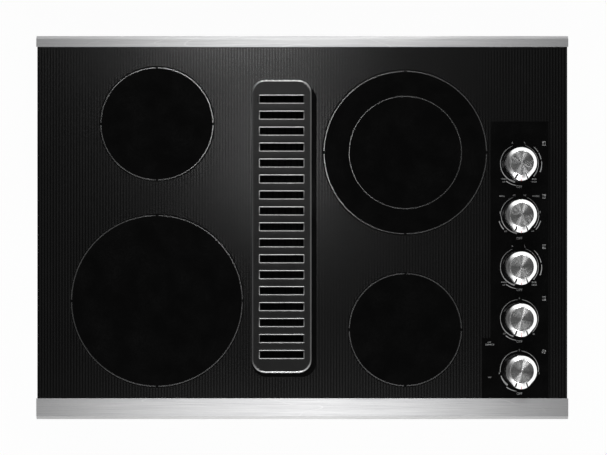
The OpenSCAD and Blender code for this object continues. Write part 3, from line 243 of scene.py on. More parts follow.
def make_spangle():
    """Crystals of a zinc coat: every cell of a crackled pattern has its own tone and a fine border."""
    group, given, out = effect(
        "zinc crystals",
        {"Vector": ("Vector", None), "Size": ("Float", 0.012)},
        {"Mask": "Float", "Border": "Float"},
    )
    size = reckon(group, "DIVIDE", 1.0, given["Size"])
    bend = add(group, "TexNoise", {"Vector": given["Vector"], "Scale": product(group, size, 1.5)})
    shift = add(group, "VectorMath", {0: bend.outputs["Color"], 3: 0.006}, operation="SCALE").outputs[0]
    place = add(group, "VectorMath", {0: given["Vector"], 1: shift}, operation="ADD").outputs[0]
    cells = add(group, "TexVoronoi", {"Vector": place, "Scale": size}, feature="F1")
    tone = add(group, "SeparateColor", {0: cells.outputs["Color"]}).outputs[0]
    edges = add(group, "TexVoronoi", {"Vector": place, "Scale": size}, feature="DISTANCE_TO_EDGE")
    group.links.new(tone, out["Mask"])
    group.links.new(spread(group, edges.outputs["Distance"], 0.0, 0.05, 1.0, 0.0), out["Border"])
    return group


def make_dust():
    """Settled dust: cloudy cover on the faces that look up, fading on the slopes."""
    group, given, out = effect(
        "settled dust",
        {"Vector": ("Vector", None), "Cover": ("Float", 0.2)},
        {"Mask": "Float"},
    )
    cloud = add(group, "TexNoise", {"Vector": given["Vector"], "Scale": 35.0, "Detail": 5.0}).outputs["Fac"]
    specks = add(group, "TexNoise", {"Vector": given["Vector"], "Scale": 900.0, "Detail": 1.0}).outputs["Fac"]
    patch = product(group, spread(group, cloud, 0.35, 0.75), spread(group, specks, 0.35, 0.65))
    lying = product(group, patch, spread(group, normal_part(group, 2), 0.2, 0.9))
    group.links.new(product(group, lying, given["Cover"]), out["Mask"])
    return group


def make_window():
    """A round plain window in the printed glass: 1 inside the radius, 0 outside, with a soft rim."""
    group, given, out = effect(
        "round window",
        {"Vector": ("Vector", None), "Centre": ("Vector", (0.0, 0.0, 0.0)), "Radius": ("Float", 0.1)},
        {"Mask": "Float"},
    )
    flat = add(group, "VectorMath", {0: given["Vector"], 1: (1.0, 1.0, 0.0)}, operation="MULTIPLY").outputs[0]
    away = add(group, "VectorMath", {0: flat, 1: given["Centre"]}, operation="DISTANCE").outputs["Value"]
    inward = reckon(group, "SUBTRACT", given["Radius"], away)
    group.links.new(spread(group, inward, -EDGE_BLUR * MM, EDGE_BLUR * MM), out["Mask"])
    return group


mottle = make_mottle()
hairlines = make_hairlines()
spangle = make_spangle()
dust = make_dust()
window = make_window()


def spots(tree, place, size, contrast=1.0, stretch=(1.0, 1.0, 1.0)):
    """The mottle effect at a place, with spots of a size in metres; its outputs are Mask and Height."""
    return use(tree, mottle, {"Vector": place, "Size": size, "Contrast": contrast, "Stretch": stretch})


def scratched(tree, place, spacing, stretch=(1.0, 1.0, 1.0)):
    """The mask of the hairlines effect at a place, with the scratches' spacing in metres."""
    return use(tree, hairlines, {"Vector": place, "Spacing": spacing, "Stretch": stretch})["Mask"]


def dusted(tree, place, colour, cover, shade):
    """Lays the dust effect over a colour: the new colour and the dust's mask."""
    lying = use(tree, dust, {"Vector": place, "Cover": cover})["Mask"]
    return blend_colour(tree, lying, colour, shade), lying


# Materials

def feed(tree, body, **inputs):
    """Sets a shader's inputs, named with underscores for spaces, to plain values or sockets."""
    for name, value in inputs.items():
        plug(tree, body.inputs[name.replace("_", " ")], value)


def start_material(name, **shader):
    """An empty material with one Principled shader; the plain values are set on the shader's sockets."""
    material = bpy.data.materials.new(name)
    material.use_nodes = True
    tree = material.node_tree
    tree.nodes.clear()
    body = add(tree, "BsdfPrincipled")
    feed(tree, body, **shader)
    add(tree, "OutputMaterial", {"Surface": body.outputs[0]})
    return material, tree, body


def bumped(tree, body, height, depth):
    """Gives the shader a relief of the given depth in metres."""
    relief = add(tree, "Bump", {"Height": height, "Distance": depth, "Strength": 1.0})
    tree.links.new(relief.outputs[0], body.inputs["Normal"])


def grained(name, dark, light, rough, size, depth, stretch=(1.0, 1.0, 1.0), contrast=1.0, cloud=0.05,
            scratches=0.0, cover=0.0, **shader):
    """A finish with fine grain, slow clouds of tone, scratches and a little dust.

    The colour runs from dark to light with the grain and the clouds, the roughness over the pair rough. In
    metres, size and cloud are the size of the grain and of the clouds, depth is the relief's and scratches
    the spacing of the scratches.
    """
    material, tree, body = start_material(name, **shader)
    place = place_on_piece(tree)
    fine = spots(tree, place, size, contrast, stretch)
    slow = spots(tree, place, cloud, CLOUD_CONTRAST)
    tone = weighed(tree, fine["Mask"], slow["Mask"], GRAIN_SHARE)
    colour = blend_colour(tree, tone, dark, light)
    roughness = between(tree, tone, rough[0], rough[1])
    if scratches:
        bright = tuple(min(1.0, 1.5 * part + 0.02) for part in light[:3]) + (1.0,)
        colour = blend_colour(tree, product(tree, scratched(tree, place, scratches), 0.5), colour, bright)
    if cover:
        colour, lying = dusted(tree, place, colour, cover, HOUSE_DUST)
        roughness = reckon(tree, "MULTIPLY_ADD", lying, DUST_ROUGH, roughness)
    feed(tree, body, Base_Color=colour, Roughness=roughness)
    bumped(tree, body, fine["Height"], depth)
    return material


def zinc_coated(name, dark, light, rough, size):
    """Sheet with a zinc coat: crystals of different tone with fine borders, clouds and scratches."""
    material, tree, body = start_material(name, Metallic=1.0)
    place = place_on_piece(tree)
    crystals = use(tree, spangle, {"Vector": place, "Size": size})
    clouds = spots(tree, place, size=0.07, contrast=1.4)
    lines = scratched(tree, place, spacing=0.04, stretch=(2.0, 1.0, 1.0))
    tone = weighed(tree, crystals["Mask"], clouds["Mask"], 0.7)
    colour = blend_colour(tree, tone, dark, light)
    colour = blend_colour(tree, product(tree, crystals["Border"], 0.25), colour, dark)
    colour, lying = dusted(tree, place, colour, cover=0.5, shade=SHEET_DUST)
    roughness = reckon(tree, "MULTIPLY_ADD", lines, 0.1, between(tree, tone, rough[1], rough[0]))
    feed(tree, body, Base_Color=colour, Roughness=reckon(tree, "ADD", roughness, lying))
    bumped(tree, body, reckon(tree, "SUBTRACT", clouds["Height"], lines), 0.00002)
    return material


def control_field(tree, split):
    """The mask of the plain control field: between its left and right edges, below its top, with its step."""
    left = reckon(tree, "GREATER_THAN", split[0], FIELD_LEFT * MM)
    step = product(tree, reckon(tree, "GREATER_THAN", split[0], FIELD_STEP * MM),
                   reckon(tree, "LESS_THAN", split[1], FIELD_STEP_TOP * MM))
    wide = product(tree, reckon(tree, "MAXIMUM", left, step),
                   reckon(tree, "LESS_THAN", split[0], FIELD_RIGHT * MM))
    return product(tree, wide, reckon(tree, "LESS_THAN", split[1], FIELD_TOP * MM))


def vent_shadow(tree, split):
    """The mask of the painted shadow round the vent: plain glass without print, set off to the right of and
    below the grille.

    It is 1 where the distance from the rectangle between the corners' middles is under the corner's radius.
    """
    over = []
    for axis in (0, 1):
        off = reckon(tree, "ABSOLUTE", reckon(tree, "SUBTRACT", split[axis], SHADOW_MIDDLE[axis] * MM))
        past = reckon(tree, "SUBTRACT", off, (SHADOW_HALF[axis] - SHADOW_CORNER) * MM)
        over.append(reckon(tree, "MAXIMUM", past, 0.0))
    flat = add(tree, "CombineXYZ", {0: over[0], 1: over[1]}).outputs[0]
    away = add(tree, "VectorMath", {0: flat}, operation="LENGTH").outputs["Value"]
    return spread(tree, away, (SHADOW_CORNER - EDGE_BLUR) * MM, (SHADOW_CORNER + EDGE_BLUR) * MM, 1.0, 0.0)


def make_glass():
    """Black ceramic glass with a fine lustrous print of lines and dots, left off in the zones, the control
    field and a band round the vent that is the grille's painted shadow.

    The print's tone is the sine of x over the lines' pitch plus half the sine of y over the dots' pitch.
    """
    material, tree, body = start_material("black_ceramic_glass", IOR=1.5)
    place = place_on_piece(tree)
    split = add(tree, "SeparateXYZ", {0: place}).outputs
    # plain covers the zones and the control field, which are bare glass, and the painted shadow round the
    # vent
    plain = reckon(tree, "MAXIMUM", control_field(tree, split), vent_shadow(tree, split))
    for x, y, radius, _ in ZONES.values():
        values = {"Vector": place, "Centre": (x * MM, y * MM, 0.0), "Radius": (radius + ZONE_MARGIN) * MM}
        plain = reckon(tree, "MAXIMUM", use(tree, window, values)["Mask"], plain)
    top = reckon(tree, "GREATER_THAN", split[2], (GLASS_FACE - 0.05) * MM)
    printed = product(tree, reckon(tree, "SUBTRACT", 1.0, plain), top)
    lines = reckon(tree, "SINE", product(tree, split[0], 2.0 * math.pi / (PRINT_PITCH * MM)))
    dots = reckon(tree, "SINE", product(tree, split[1], 2.0 * math.pi / (DOT_PITCH * MM)))
    dotted = spread(tree, reckon(tree, "MULTIPLY_ADD", dots, 0.5, lines), -1.5, 1.5)
    clouds = spots(tree, place, size=0.15)
    shade = product(tree, dotted, between(tree, clouds["Mask"], 0.85, 1.0))
    film = blend_colour(tree, shade, grey(FILM_DARK), grey(FILM_LIGHT))
    colour = blend_colour(tree, printed, grey(BARE_TONE), film)
    colour, _ = dusted(tree, place, colour, cover=0.01, shade=grey(0.3))
    smears = spots(tree, place, size=0.09, contrast=0.8, stretch=(2.0, 1.0, 1.0))
    scratches = scratched(tree, place, spacing=0.09, stretch=(1.0, 3.0, 1.0))
    rough = reckon(tree, "MULTIPLY_ADD", printed, FILM_ROUGH, between(tree, smears["Mask"], 0.035, 0.05))
    rough = reckon(tree, "MULTIPLY_ADD", scratches, 0.01, rough)
    feed(tree, body, Base_Color=colour, Metallic=printed, Roughness=rough)
    bumped(tree, body, product(tree, printed, dotted), 0.000002)
    return material


def make_trim_steel():
    """Brushed stainless steel: long fine streaks along the strip, with slower bands of tone.

    The folded front edge is duller than the flat.
    """
    material, tree, body = start_material("brushed_steel_trim", Metallic=1.0, Anisotropic=0.85)
    place = place_on_piece(tree)
    streaks = spots(tree, place, size=0.0007, contrast=1.3, stretch=(90.0, 1.0, 1.0))
    bands = spots(tree, place, size=0.006, contrast=1.2, stretch=(60.0, 1.0, 1.0))
    lines = scratched(tree, place, spacing=0.05, stretch=(6.0, 1.0, 1.0))
    tone = weighed(tree, streaks["Mask"], bands["Mask"], 0.6)
    tone = reckon(tree, "MAXIMUM", tone, product(tree, lines, 0.8))
    colour = blend_colour(tree, tone, (0.40, 0.40, 0.41, 1.0), grey(0.64))
    bend = spread(tree, normal_part(tree, 1), *BEND_FACING, 1.0, 0.0)
    colour = blend_colour(tree, bend, colour, grey(BEND_TONE))
    rough = reckon(tree, "MULTIPLY_ADD", bend, BEND_ROUGH, between(tree, tone, 0.52, 0.38))
    across = add(tree, "CombineXYZ", {0: 0.0, 1: 1.0, 2: 0.0}).outputs[0]
    feed(tree, body, Base_Color=colour, Roughness=rough, Tangent=across)
    bumped(tree, body, streaks["Height"], 0.00002)
    return material


def make_spun_aluminium():
    """Spun aluminium: fine grooves round the middle, from the piece's own map of turn and radius."""
    material, tree, body = start_material("spun_aluminium", Metallic=1.0, Anisotropic=1.0,
                                          Anisotropic_Rotation=0.25)
    spin = add(tree, "UVMap", uv_map="spin").outputs[0]
    wide = add(tree, "VectorMath", {0: spin, 1: (2.0, 1.0, 1.0)}, operation="MULTIPLY").outputs[0]
    grooves = spots(tree, wide, size=0.012, contrast=1.4, stretch=(40.0, 1.0, 1.0))
    rays = spots(tree, wide, size=0.05, contrast=1.2, stretch=(1.0, 30.0, 1.0))
    tone = weighed(tree, grooves["Mask"], rays["Mask"], 0.6)
    tangent = add(tree, "Tangent", direction_type="UV_MAP", uv_map="spin").outputs[0]
    feed(tree, body, Base_Color=blend_colour(tree, tone, grey(0.45), grey(0.88)),
         Roughness=between(tree, tone, 0.32, 0.24), Tangent=tangent)
    bumped(tree, body, grooves["Height"], 0.00004)
    return material


def make_grille_enamel():
    """Black enamel, a little orange-peeled, with a painted highlight of bright metal along the rounded edges.
    """
    material, tree, body = start_material("black_grille_enamel", Specular_IOR_Level=0.5)
    place = place_on_piece(tree)
    peel = spots(tree, place, size=0.0035)
    clouds = spots(tree, place, size=0.05, contrast=1.2)
    # painted highlight: bright metal along the rounded edges, from the grille's own attribute
    highlit = add(tree, "Attribute", attribute_name="edge_highlight").outputs["Fac"]
    shine = product(tree, highlit, between(tree, clouds["Mask"], 0.85, 1.0))
    enamel = blend_colour(tree, clouds["Mask"], grey(0.005), grey(0.009))
    enamel, _ = dusted(tree, place, enamel, cover=0.01, shade=grey(0.3))
    rough = reckon(tree, "MULTIPLY_ADD", shine, -0.08, between(tree, peel["Mask"], 0.29, 0.36))
    feed(tree, body, Base_Color=blend_colour(tree, shine, enamel, grey(0.92)), Metallic=shine, Roughness=rough)
    bumped(tree, body, peel["Height"], 0.00001)
    return material


finishes = {
    "glass": make_glass(),
    "steel_trim": make_trim_steel(),
    "knob_disc": make_spun_aluminium(),
    "galvanised": zinc_coated("zinc_coated_box", grey(0.42), grey(0.66), rough=(0.28, 0.46), size=0.012),
    "duct_sheet": zinc_coated("zinc_coated_duct", grey(0.36), grey(0.58), rough=(0.34, 0.52), size=0.016),
    "foam": grained(
        "black_foam_seal", grey(0.012), grey(0.035), rough=(0.85, 1.0), size=0.0012, depth=0.0004,
        contrast=1.6, cover=0.3,
    ),
    "silicone": grained(
        "black_silicone_bead", grey(0.010), grey(0.020), rough=(0.38, 0.5), size=0.004, depth=0.00005,
        cover=0.2, Specular_IOR_Level=0.4,
    ),
    "spring_steel": grained(
        "blued_spring_steel", (0.16, 0.17, 0.21, 1.0), (0.30, 0.31, 0.34, 1.0), rough=(0.25, 0.4),
        size=0.0008, depth=0.00001, stretch=(20.0, 1.0, 1.0), Metallic=1.0,
    ),
    "pan_steel": grained(
        "pressed_pan_steel", grey(0.34, 0.03), grey(0.52, 0.04), rough=(0.32, 0.5), size=0.0009,
        depth=0.00002, cloud=0.03, scratches=0.04, cover=0.2, Metallic=1.0,
    ),
    "fibre": grained(
        "ceramic_fibre", grey(0.62, 0.05), grey(0.80, 0.03), rough=(0.9, 1.0), size=0.0016, depth=0.0003,
        contrast=1.5, cloud=0.02,
    ),
    "ribbon": grained(
        "heating_ribbon", (0.10, 0.085, 0.075, 1.0), (0.22, 0.18, 0.15, 1.0), rough=(0.45, 0.65),
        size=0.0015, depth=0.00002, Metallic=0.8,
    ),
    "limiter": grained(
        "limiter_ceramic", grey(0.58, 0.03), grey(0.74, 0.02), rough=(0.35, 0.55), size=0.0012,
        depth=0.00003, cover=0.15,
    ),
    "switch_body": grained(
        "switch_moulding", (0.20, 0.18, 0.15, 1.0), (0.28, 0.25, 0.21, 1.0), rough=(0.45, 0.6),
        size=0.0006, depth=0.00003, cover=0.2,
    ),
    "terminal": grained(
        "terminal_moulding", (0.030, 0.018, 0.012, 1.0), (0.055, 0.034, 0.022, 1.0), rough=(0.35, 0.5),
        size=0.0007, depth=0.00003, cover=0.2,
    ),
    "lamp": grained(
        "lamp_lens", (0.35, 0.020, 0.010, 1.0), (0.52, 0.035, 0.015, 1.0), rough=(0.12, 0.2), size=0.002,
        depth=0.00002, Coat_Weight=0.3,
    ),
    "ring_plastic": grained(
        "black_moulding", grey(0.014), grey(0.028), rough=(0.38, 0.55), size=0.0007, depth=0.00004,
        scratches=0.03, cover=0.35,
    ),
    "motor_paint": grained(
        "motor_enamel", grey(0.030), grey(0.055), rough=(0.30, 0.45), size=0.0022, depth=0.00006,
        scratches=0.05, cover=0.4, Coat_Weight=0.2,
    ),
    "bright_steel": grained(
        "bright_steel", grey(0.50), grey(0.68), rough=(0.16, 0.30), size=0.0006, depth=0.00001,
        stretch=(1.0, 15.0, 1.0), scratches=0.03, Metallic=1.0,
    ),
    "zinc": grained(
        "zinc_plated_steel", (0.50, 0.50, 0.48, 1.0), (0.66, 0.65, 0.60, 1.0), rough=(0.24, 0.42),
        size=0.0012, depth=0.00002, cloud=0.01, cover=0.15, Metallic=1.0,
    ),
    "grille": make_grille_enamel(),
    # the filter is kept near black so that it doesn't show through the slots: painted shade of the vent's
    # inside
    "filter": grained(
        "dark_filter_mesh", grey(0.003), grey(0.012), rough=(0.55, 0.75), size=0.001, depth=0.00004,
        cloud=0.03, Metallic=0.3, Specular_IOR_Level=0.2,
    ),
    "knob_metal": grained(
        "satin_aluminium", grey(0.86), grey(0.95), rough=(0.17, 0.24), size=0.0009, depth=0.00001,
        stretch=(1.0, 1.0, 12.0), cloud=0.012, Metallic=1.0,
    ),
    "shaft_steel": grained(
        "turned_steel", grey(0.42), grey(0.60), rough=(0.25, 0.4), size=0.0005, depth=0.00001,
        stretch=(12.0, 12.0, 1.0), Metallic=1.0,
    ),
    "cam_plastic": grained(
        "natural_nylon", grey(0.60, 0.04), grey(0.70, 0.03), rough=(0.4, 0.5), size=0.002, depth=0.00002,
        cover=0.1, Subsurface_Weight=0.1,
    ),
}
print_enamel = grained(
    "grey_print_enamel", grey(0.26), grey(0.37), rough=(0.5, 0.65), size=0.0015, depth=0.000005,
)
ring_enamel = grained(
    "zone_ring_film", grey(0.50), grey(0.78), rough=(0.18, 0.22), size=0.002, depth=0.000005,
    Metallic=1.0,
)
# near black used as painted shade: the vent's inside and the knobs' notch strips
shade_enamel = grained(
    "shade_black_enamel", grey(0.006), grey(0.014), rough=(0.5, 0.7), size=0.002, depth=0.00004,
    cover=0.05,
)
red_enamel = grained(
    "red_mark_enamel", (0.42, 0.03, 0.03, 1.0), (0.56, 0.06, 0.05, 1.0), rough=(0.4, 0.5), size=0.001,
    depth=0.000005,
)

# The plenum is seen through the grille's slots, so it gets the deep black as painted shade, which keeps the
# slots black
for name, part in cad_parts.items():
    for row in part.material_slots:
        row.material = shade_enamel if name == "plenum" else finishes[row.material.name]


# Surfaces

def new_object(name, corners, faces, material):
    """Makes an object from corners in metres and faces."""
    mesh = bpy.data.meshes.new(name)
    mesh.from_pydata(corners.tolist(), [], [list(face) for face in faces])
    mesh.update()
    mesh.materials.append(material)
    made = bpy.data.objects.new(name, mesh)
    bpy.context.scene.collection.objects.link(made)
    return made


def put_mesh(name, corners, faces, material, body, slot_name, smooth=40.0):
    """Makes one closed piece from corners in millimetres, smooth where faces meet under the angle smooth."""
    piece = new_object(name, np.asarray(corners, dtype=float) * MM, faces, material)
    if smooth:
        piece.data.polygons.foreach_set("use_smooth", [True] * len(piece.data.polygons))
        piece.data.set_sharp_from_angle(angle=math.radians(smooth))
    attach(piece, body)
    return piece


def corners_of(mesh):
    """A mesh's corners as rows of x, y and z."""
    places = np.empty(len(mesh.vertices) * 3)
    mesh.vertices.foreach_get("co", places)
    return places.reshape(-1, 3)


def wrapped(grid, axis):
    """A grid with its first row or column repeated after its last, which closes it."""
    return np.concatenate([grid, grid.take([0], axis)], axis)


def quads_of(grid):
    """The faces between neighbours in a grid of corner numbers, each from its first corner along the row."""
    return np.stack([grid[:-1, :-1], grid[:-1, 1:], grid[1:, 1:], grid[1:, :-1]], axis=-1).reshape(-1, 4)


def closed_skin(rings, start, end):
    """Corners and faces of a skin over rings of points, closed by one point at each end.

    rings has the shape steps x around x 3. The signed volume of the faces decides their direction.
    """
    steps, around = rings.shape[:2]
    corners = np.vstack([[start], rings.reshape(-1, 3), [end]])
    index = wrapped(1 + np.arange(steps * around).reshape(steps, around), 1)
    quads = quads_of(index)
    first = np.stack([np.zeros(around, int), index[0, 1:], index[0, :-1]], axis=-1)
    last = np.stack([np.full(around, len(corners) - 1), index[-1, :-1], index[-1, 1:]], axis=-1)
    three = np.vstack([first, last, quads[:, :3], quads[:, [0, 2, 3]]])
    a, b, c = (corners[three[:, k]] for k in range(3))
    if np.einsum("ij,ij->i", a, np.cross(b, c)).sum() < 0:
        quads, first, last = quads[:, ::-1], first[:, ::-1], last[:, ::-1]
    return corners, quads.tolist() + first.tolist() + last.tolist()


def swept(x, y, angle, distance, height):
    """Rings of points round a place: each row of distance and height carried round by the angles."""
    parts = np.broadcast_arrays(x + distance * np.cos(angle), y + distance * np.sin(angle), height)
    return np.stack(parts, axis=-1)


def stroke(path, width, closed=False):
    """A flat printed line along a path in the plane: a rectangle as wide as width carried along it.

    width is one number or one for each point. The line's normal is the path's tangent turned a quarter.
    """
    path = np.asarray(path, dtype=float)
    width = np.broadcast_to(np.asarray(width, dtype=float), (len(path),))
    if closed:
        ahead = np.roll(path, -1, axis=0) - np.roll(path, 1, axis=0)
    else:
        ahead = np.gradient(path, axis=0)
    ahead /= np.linalg.norm(ahead, axis=1, keepdims=True)
    side = np.stack([-ahead[:, 1], ahead[:, 0]], axis=1) * width[:, None] / 2.0
    low = np.full(len(path), GLASS_FACE - PRINT_SINK)
    high = np.full(len(path), GLASS_FACE + PRINT_LIFT)
    edges = ((path + side, low), (path - side, low), (path - side, high), (path + side, high))
    corners = np.stack([np.column_stack(edge) for edge in edges], axis=1).reshape(-1, 3)
    index = np.arange(len(corners)).reshape(-1, 4)
    ends = [] if closed else [index[0, ::-1].tolist(), index[-1].tolist()]
    if closed:
        index = wrapped(index, 0)
    return corners, [face[::-1] for face in quads_of(wrapped(index, 1)).tolist() + ends]


def arc(x, y, radius, start, end, points=48):
    """Points on a circle's arc, angles in degrees counted from +X towards +Y."""
    angle = np.radians(np.linspace(start, end, points))
    return np.stack([x + radius * np.cos(angle), y + radius * np.sin(angle)], axis=1)


def ring(x, y, radius, width, points=16):
    """A printed line that closes round a place."""
    return stroke(arc(x, y, radius, 0.0, 360.0, points + 1)[:-1], width, closed=True)


def tapered(x, y, radius, start, end, first, last, points=48):
    """A printed arc whose width runs evenly from first to last."""
    return stroke(arc(x, y, radius, start, end, points), np.linspace(first, last, points))


def lettering(words, x, y, size):
    """Flat letters centred on a place, as corners and faces, from Blender's own plain type."""
    curve = bpy.data.curves.new("words", "FONT")
    curve.body = words
    curve.size = size
    curve.align_x = "CENTER"
    curve.align_y = "CENTER"
    curve.extrude = PRINT_LIFT / 2.0
    curve.resolution_u = 3
    holder = bpy.data.objects.new("words", curve)
    flat = bpy.data.meshes.new_from_object(holder)
    corners = corners_of(flat) + (x, y, GLASS_FACE + PRINT_LIFT / 2.0)
    faces = [list(face.vertices) for face in flat.polygons]
    bpy.data.objects.remove(holder)
    bpy.data.curves.remove(curve)
    bpy.data.meshes.remove(flat)
    return corners, faces


def joined(parts):
    """Puts several lots of corners and faces into one lot."""
    corners = []
    faces = []
    count = 0
    for points, shapes in parts:
        corners.append(points)
        faces += [[count + k for k in face] for face in shapes]
        count += len(points)
    return np.vstack(corners), faces


def put_print(name, parts, enamel):
    """Makes one piece of several printed lines and words on the glass."""
    corners, faces = joined(parts)
    put_mesh(name, corners, faces, enamel, "chassis", "glass", smooth=0.0)


# Zone rings

def zone_rings(x, y, radius, inner):
    """Four quarter arcs with a gap at each quarter; the double zone's inner ring is whole and thinner."""
    gap = math.degrees(RING_GAP / 2.0 / radius)
    parts = []
    for start in QUARTERS:
        parts.append(stroke(arc(x, y, radius, start + gap, start + 90.0 - gap), RING_LINE))
    if inner:
        parts.append(ring(x, y, inner, INNER_LINE, points=144))
    return parts


for zone, values in ZONES.items():
    put_print(zone + "_zone_ring", zone_rings(*values), ring_enamel)


# Dial prints

# Each dial has arcs (radius, start and end in degrees, first and last width), ticks (two ends), words (text,
# place and size) and the place of its icon, all in mm and from the knob's middle.
TICK_LINE = 0.6             # width of ticks and icon lines
ICON_HALF = (2.6, 2.7)      # half width and half height of an element's icon
ICON_DOTS = ((-1.5, 1.1), (-1.5, -1.1), (1.5, 1.1), (1.5, -1.1))
PLAIN_DOT = 1.0             # width of a plain dot
MARKED_DOT = 1.9            # width of the marked one
HUB_RADIUS = 0.4            # of the fan's icon
BLADE_REACH = 1.7           # from the icon's middle to the middle of a blade's arc
BLADE_RADIUS = 1.0
BLADE_LEAN = 20.0           # angle by which a blade's arc is turned ahead, degrees
BLADE_ARC = (-60.0, 110.0)
BLADE_LINE = (0.5, 1.1)     # first and last width

# A plain element's dial: thin arcs that swell beside OFF, with three steps on the right
SINGLE_DIAL = {
    "arcs": (
        (27.9, 112.0, 190.0, 0.4, 0.8), (27.9, 190.0, 256.0, 0.8, 2.1), (32.4, 233.0, 262.0, 1.6, 0.8),
        (28.0, 72.0, -10.0, 0.3, 0.6), (28.0, -10.0, -42.0, 0.6, 1.3), (32.5, 48.5, 32.0, 0.6, 1.0),
        (32.5, 29.0, 11.0, 0.7, 1.1), (32.9, 6.0, -22.0, 0.8, 1.4),
    ),
    "ticks": (((7.2, 32.0), (8.4, 28.6)),),
    "words": (
        ("6", -10.4, 30.5, 4.2), ("WARM", -22.8, -22.7, 2.7), ("LO", -22.8, -26.7, 2.9),
        ("BOIL", 22.0, -22.8, 3.5), ("HIGH", 21.8, -26.8, 3.1), ("OFF", 0.0, -34.2, 5.0),
    ),
    "icon": (36.3, 29.6),
}

# The double element's dial: two matching halves, one for the small and one for the whole element
DOUBLE_DIAL = {
    "arcs": (
        (27.6, 110.0, 182.0, 0.4, 0.8), (26.9, 182.0, 262.0, 0.8, 1.5), (28.4, 66.0, -2.0, 0.3, 0.5),
        (28.6, -2.0, -40.0, 0.6, 1.0), (31.1, 196.0, 222.0, 0.9, 1.5), (32.3, -15.0, -41.0, 0.9, 1.3),
    ),
    "words": (
        ("2", -28.6, 4.0, 4.0), ("2", 30.4, 4.4, 4.0), ("HI", -7.6, 29.1, 3.8), ("HI", 8.0, 29.1, 3.8),
        ("SMALL", -25.4, 28.0, 3.0), ("WHOLE", 24.2, 28.0, 3.0), ("LO", -20.2, -23.5, 3.2),
        ("LO", 19.8, -23.5, 3.2), ("OFF", 0.0, -34.2, 5.0),
    ),
    "icon": (36.3, 27.8),
}

# The small front element's dial: one thin arc over the top and a figure at the middle
FOUR_STEP_DIAL = {
    "arcs": (
        (27.9, 96.0, 190.0, 0.6, 0.7), (27.9, 190.0, 252.0, 0.8, 1.8), (27.9, 82.0, -46.0, 0.6, 0.7),
        (32.4, 232.0, 262.0, 1.5, 0.8),
    ),
    "words": (
        ("5", 0.0, 29.6, 4.0), ("LO", -21.8, -22.6, 3.2), ("HI", 21.2, -23.2, 3.2), ("OFF", 0.0, -34.2, 5.0),
    ),
    "icon": (36.3, 29.4),
}

# The fan's dial: an arc over the top with three figures, thick between OFF and the first one
FAN_DIAL = {
    "arcs": (
        (28.2, 186.0, 96.0, 0.7, 0.8), (28.2, 84.0, -6.0, 0.8, 0.8), (28.2, 197.0, 232.0, 1.2, 2.8),
        (31.4, 233.0, 262.0, 1.7, 0.8),
    ),
    "words": (
        ("2", 0.0, 29.2, 4.0), ("3", -29.6, -4.6, 4.0), ("1", 29.2, -5.0, 4.0), ("OFF", 0.0, -34.8, 5.0),
    ),
    "icon": (36.1, 27.2),
}

# Each knob's dial and the dot of its icon that is marked
DIALS = {
    "left_rear": (SINGLE_DIAL, 0),
    "right_rear": (DOUBLE_DIAL, 2),
    "left_front": (SINGLE_DIAL, 1),
    "right_front": (FOUR_STEP_DIAL, 3),
    "fan": (FAN_DIAL, None),
}
LAMP_LABELS = (("HOT", 275.4, -168.9, 2.6), ("SURFACE", 275.9, -172.4, 3.3), ("ON", 275.9, -220.4, 2.8))


def middle_of(piece):
    """The place of a CAD piece's middle, seen from above, in millimetres."""
    low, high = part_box(piece)
    return (low.x + high.x) / 2.0 / MM, (low.y + high.y) / 2.0 / MM


def element_icon(x, y, marked):
    """Two lines with four dots between them, the marked one larger, for the element that the knob works."""
    wide, high = ICON_HALF
    parts = [stroke([(x - wide, y + up), (x + wide, y + up)], TICK_LINE) for up in (high, -high)]
    for k, (across, up) in enumerate(ICON_DOTS):
        size = MARKED_DOT if k == marked else PLAIN_DOT
        parts.append(ring(x + across, y + up, size / 4.0, size / 2.0))
    return parts


def fan_icon(x, y):
    """Four blades round a hub, for the fan."""
    parts = [ring(x, y, HUB_RADIUS, TICK_LINE)]
    for start in QUARTERS:
        turn = math.radians(start + BLADE_LEAN)
        middle = (x + BLADE_REACH * math.cos(turn), y + BLADE_REACH * math.sin(turn))
        ends = (start + BLADE_ARC[0], start + BLADE_ARC[1])
        parts.append(tapered(*middle, BLADE_RADIUS, *ends, *BLADE_LINE, points=14))
    return parts


def dial_print(x, y, dial, marked):
    """The print round a knob: its arcs, ticks and words, and the icon of the element or the fan."""
    parts = [tapered(x, y, *values) for values in dial["arcs"]]
    parts += [stroke(np.array(ends) + (x, y), TICK_LINE) for ends in dial.get("ticks", ())]
    parts += [lettering(words, x + across, y + up, size) for words, across, up, size in dial["words"]]
    across, up = dial["icon"]
    if marked is None:
        return parts + fan_icon(x + across, y + up)
    return parts + element_icon(x + across, y + up, marked)


for knob in KNOBS:
    put_print(knob + "_dial_print", dial_print(*middle_of(knob + "_knob_disc"), *DIALS[knob]), print_enamel)
put_print("lamp_labels", [lettering(*label) for label in LAMP_LABELS], print_enamel)


# Knobs

KNOB_RADIUS = 22.8
NOSE_REACH = 26.4           # distance of the nose's rounded end from the knob's middle
NOSE_HALF = 10.4            # half the nose's width at its corners
NOSE_CURVE = 17.0           # radius of the rounded end
NOSE_ANGLE = -90.0          # direction of the nose, degrees
LEAST_FACING = 0.2          # directions that face a side less than this don't meet it
KNOB_STEPS = 360            # points round the knob
BLENDED = 7                 # points over which its outline is smoothed
DISC_SEAT = 17.0            # radius of the recess for the insert
SEAT_FLOOR = 30.2
KNOB_TOP = 33.5
KNOB_FOOT = 12.5
RIM_FIRST = 0.45            # from the recess's radius to the rim's crest
RIM_LAST = 0.35             # from the rim's last row to the knob's edge
RIM_ROWS = 13
RIM_DROP = 3.2              # fall of the rim from its crest to its edge
RIM_LEAN = 0.8              # part of that fall that is an even slope from the crest
RIM_LOWEST = 26.0           # every row of the rim is higher than this
NOTCH_TURN = 22.0           # angle between the nose's middle and each notch
NOTCH_DEPTH = 0.7
NOTCH_HALF = 1.4            # half width of the notch's bell
NOTCH_RUN = 2.0             # length over which the notch reaches its depth

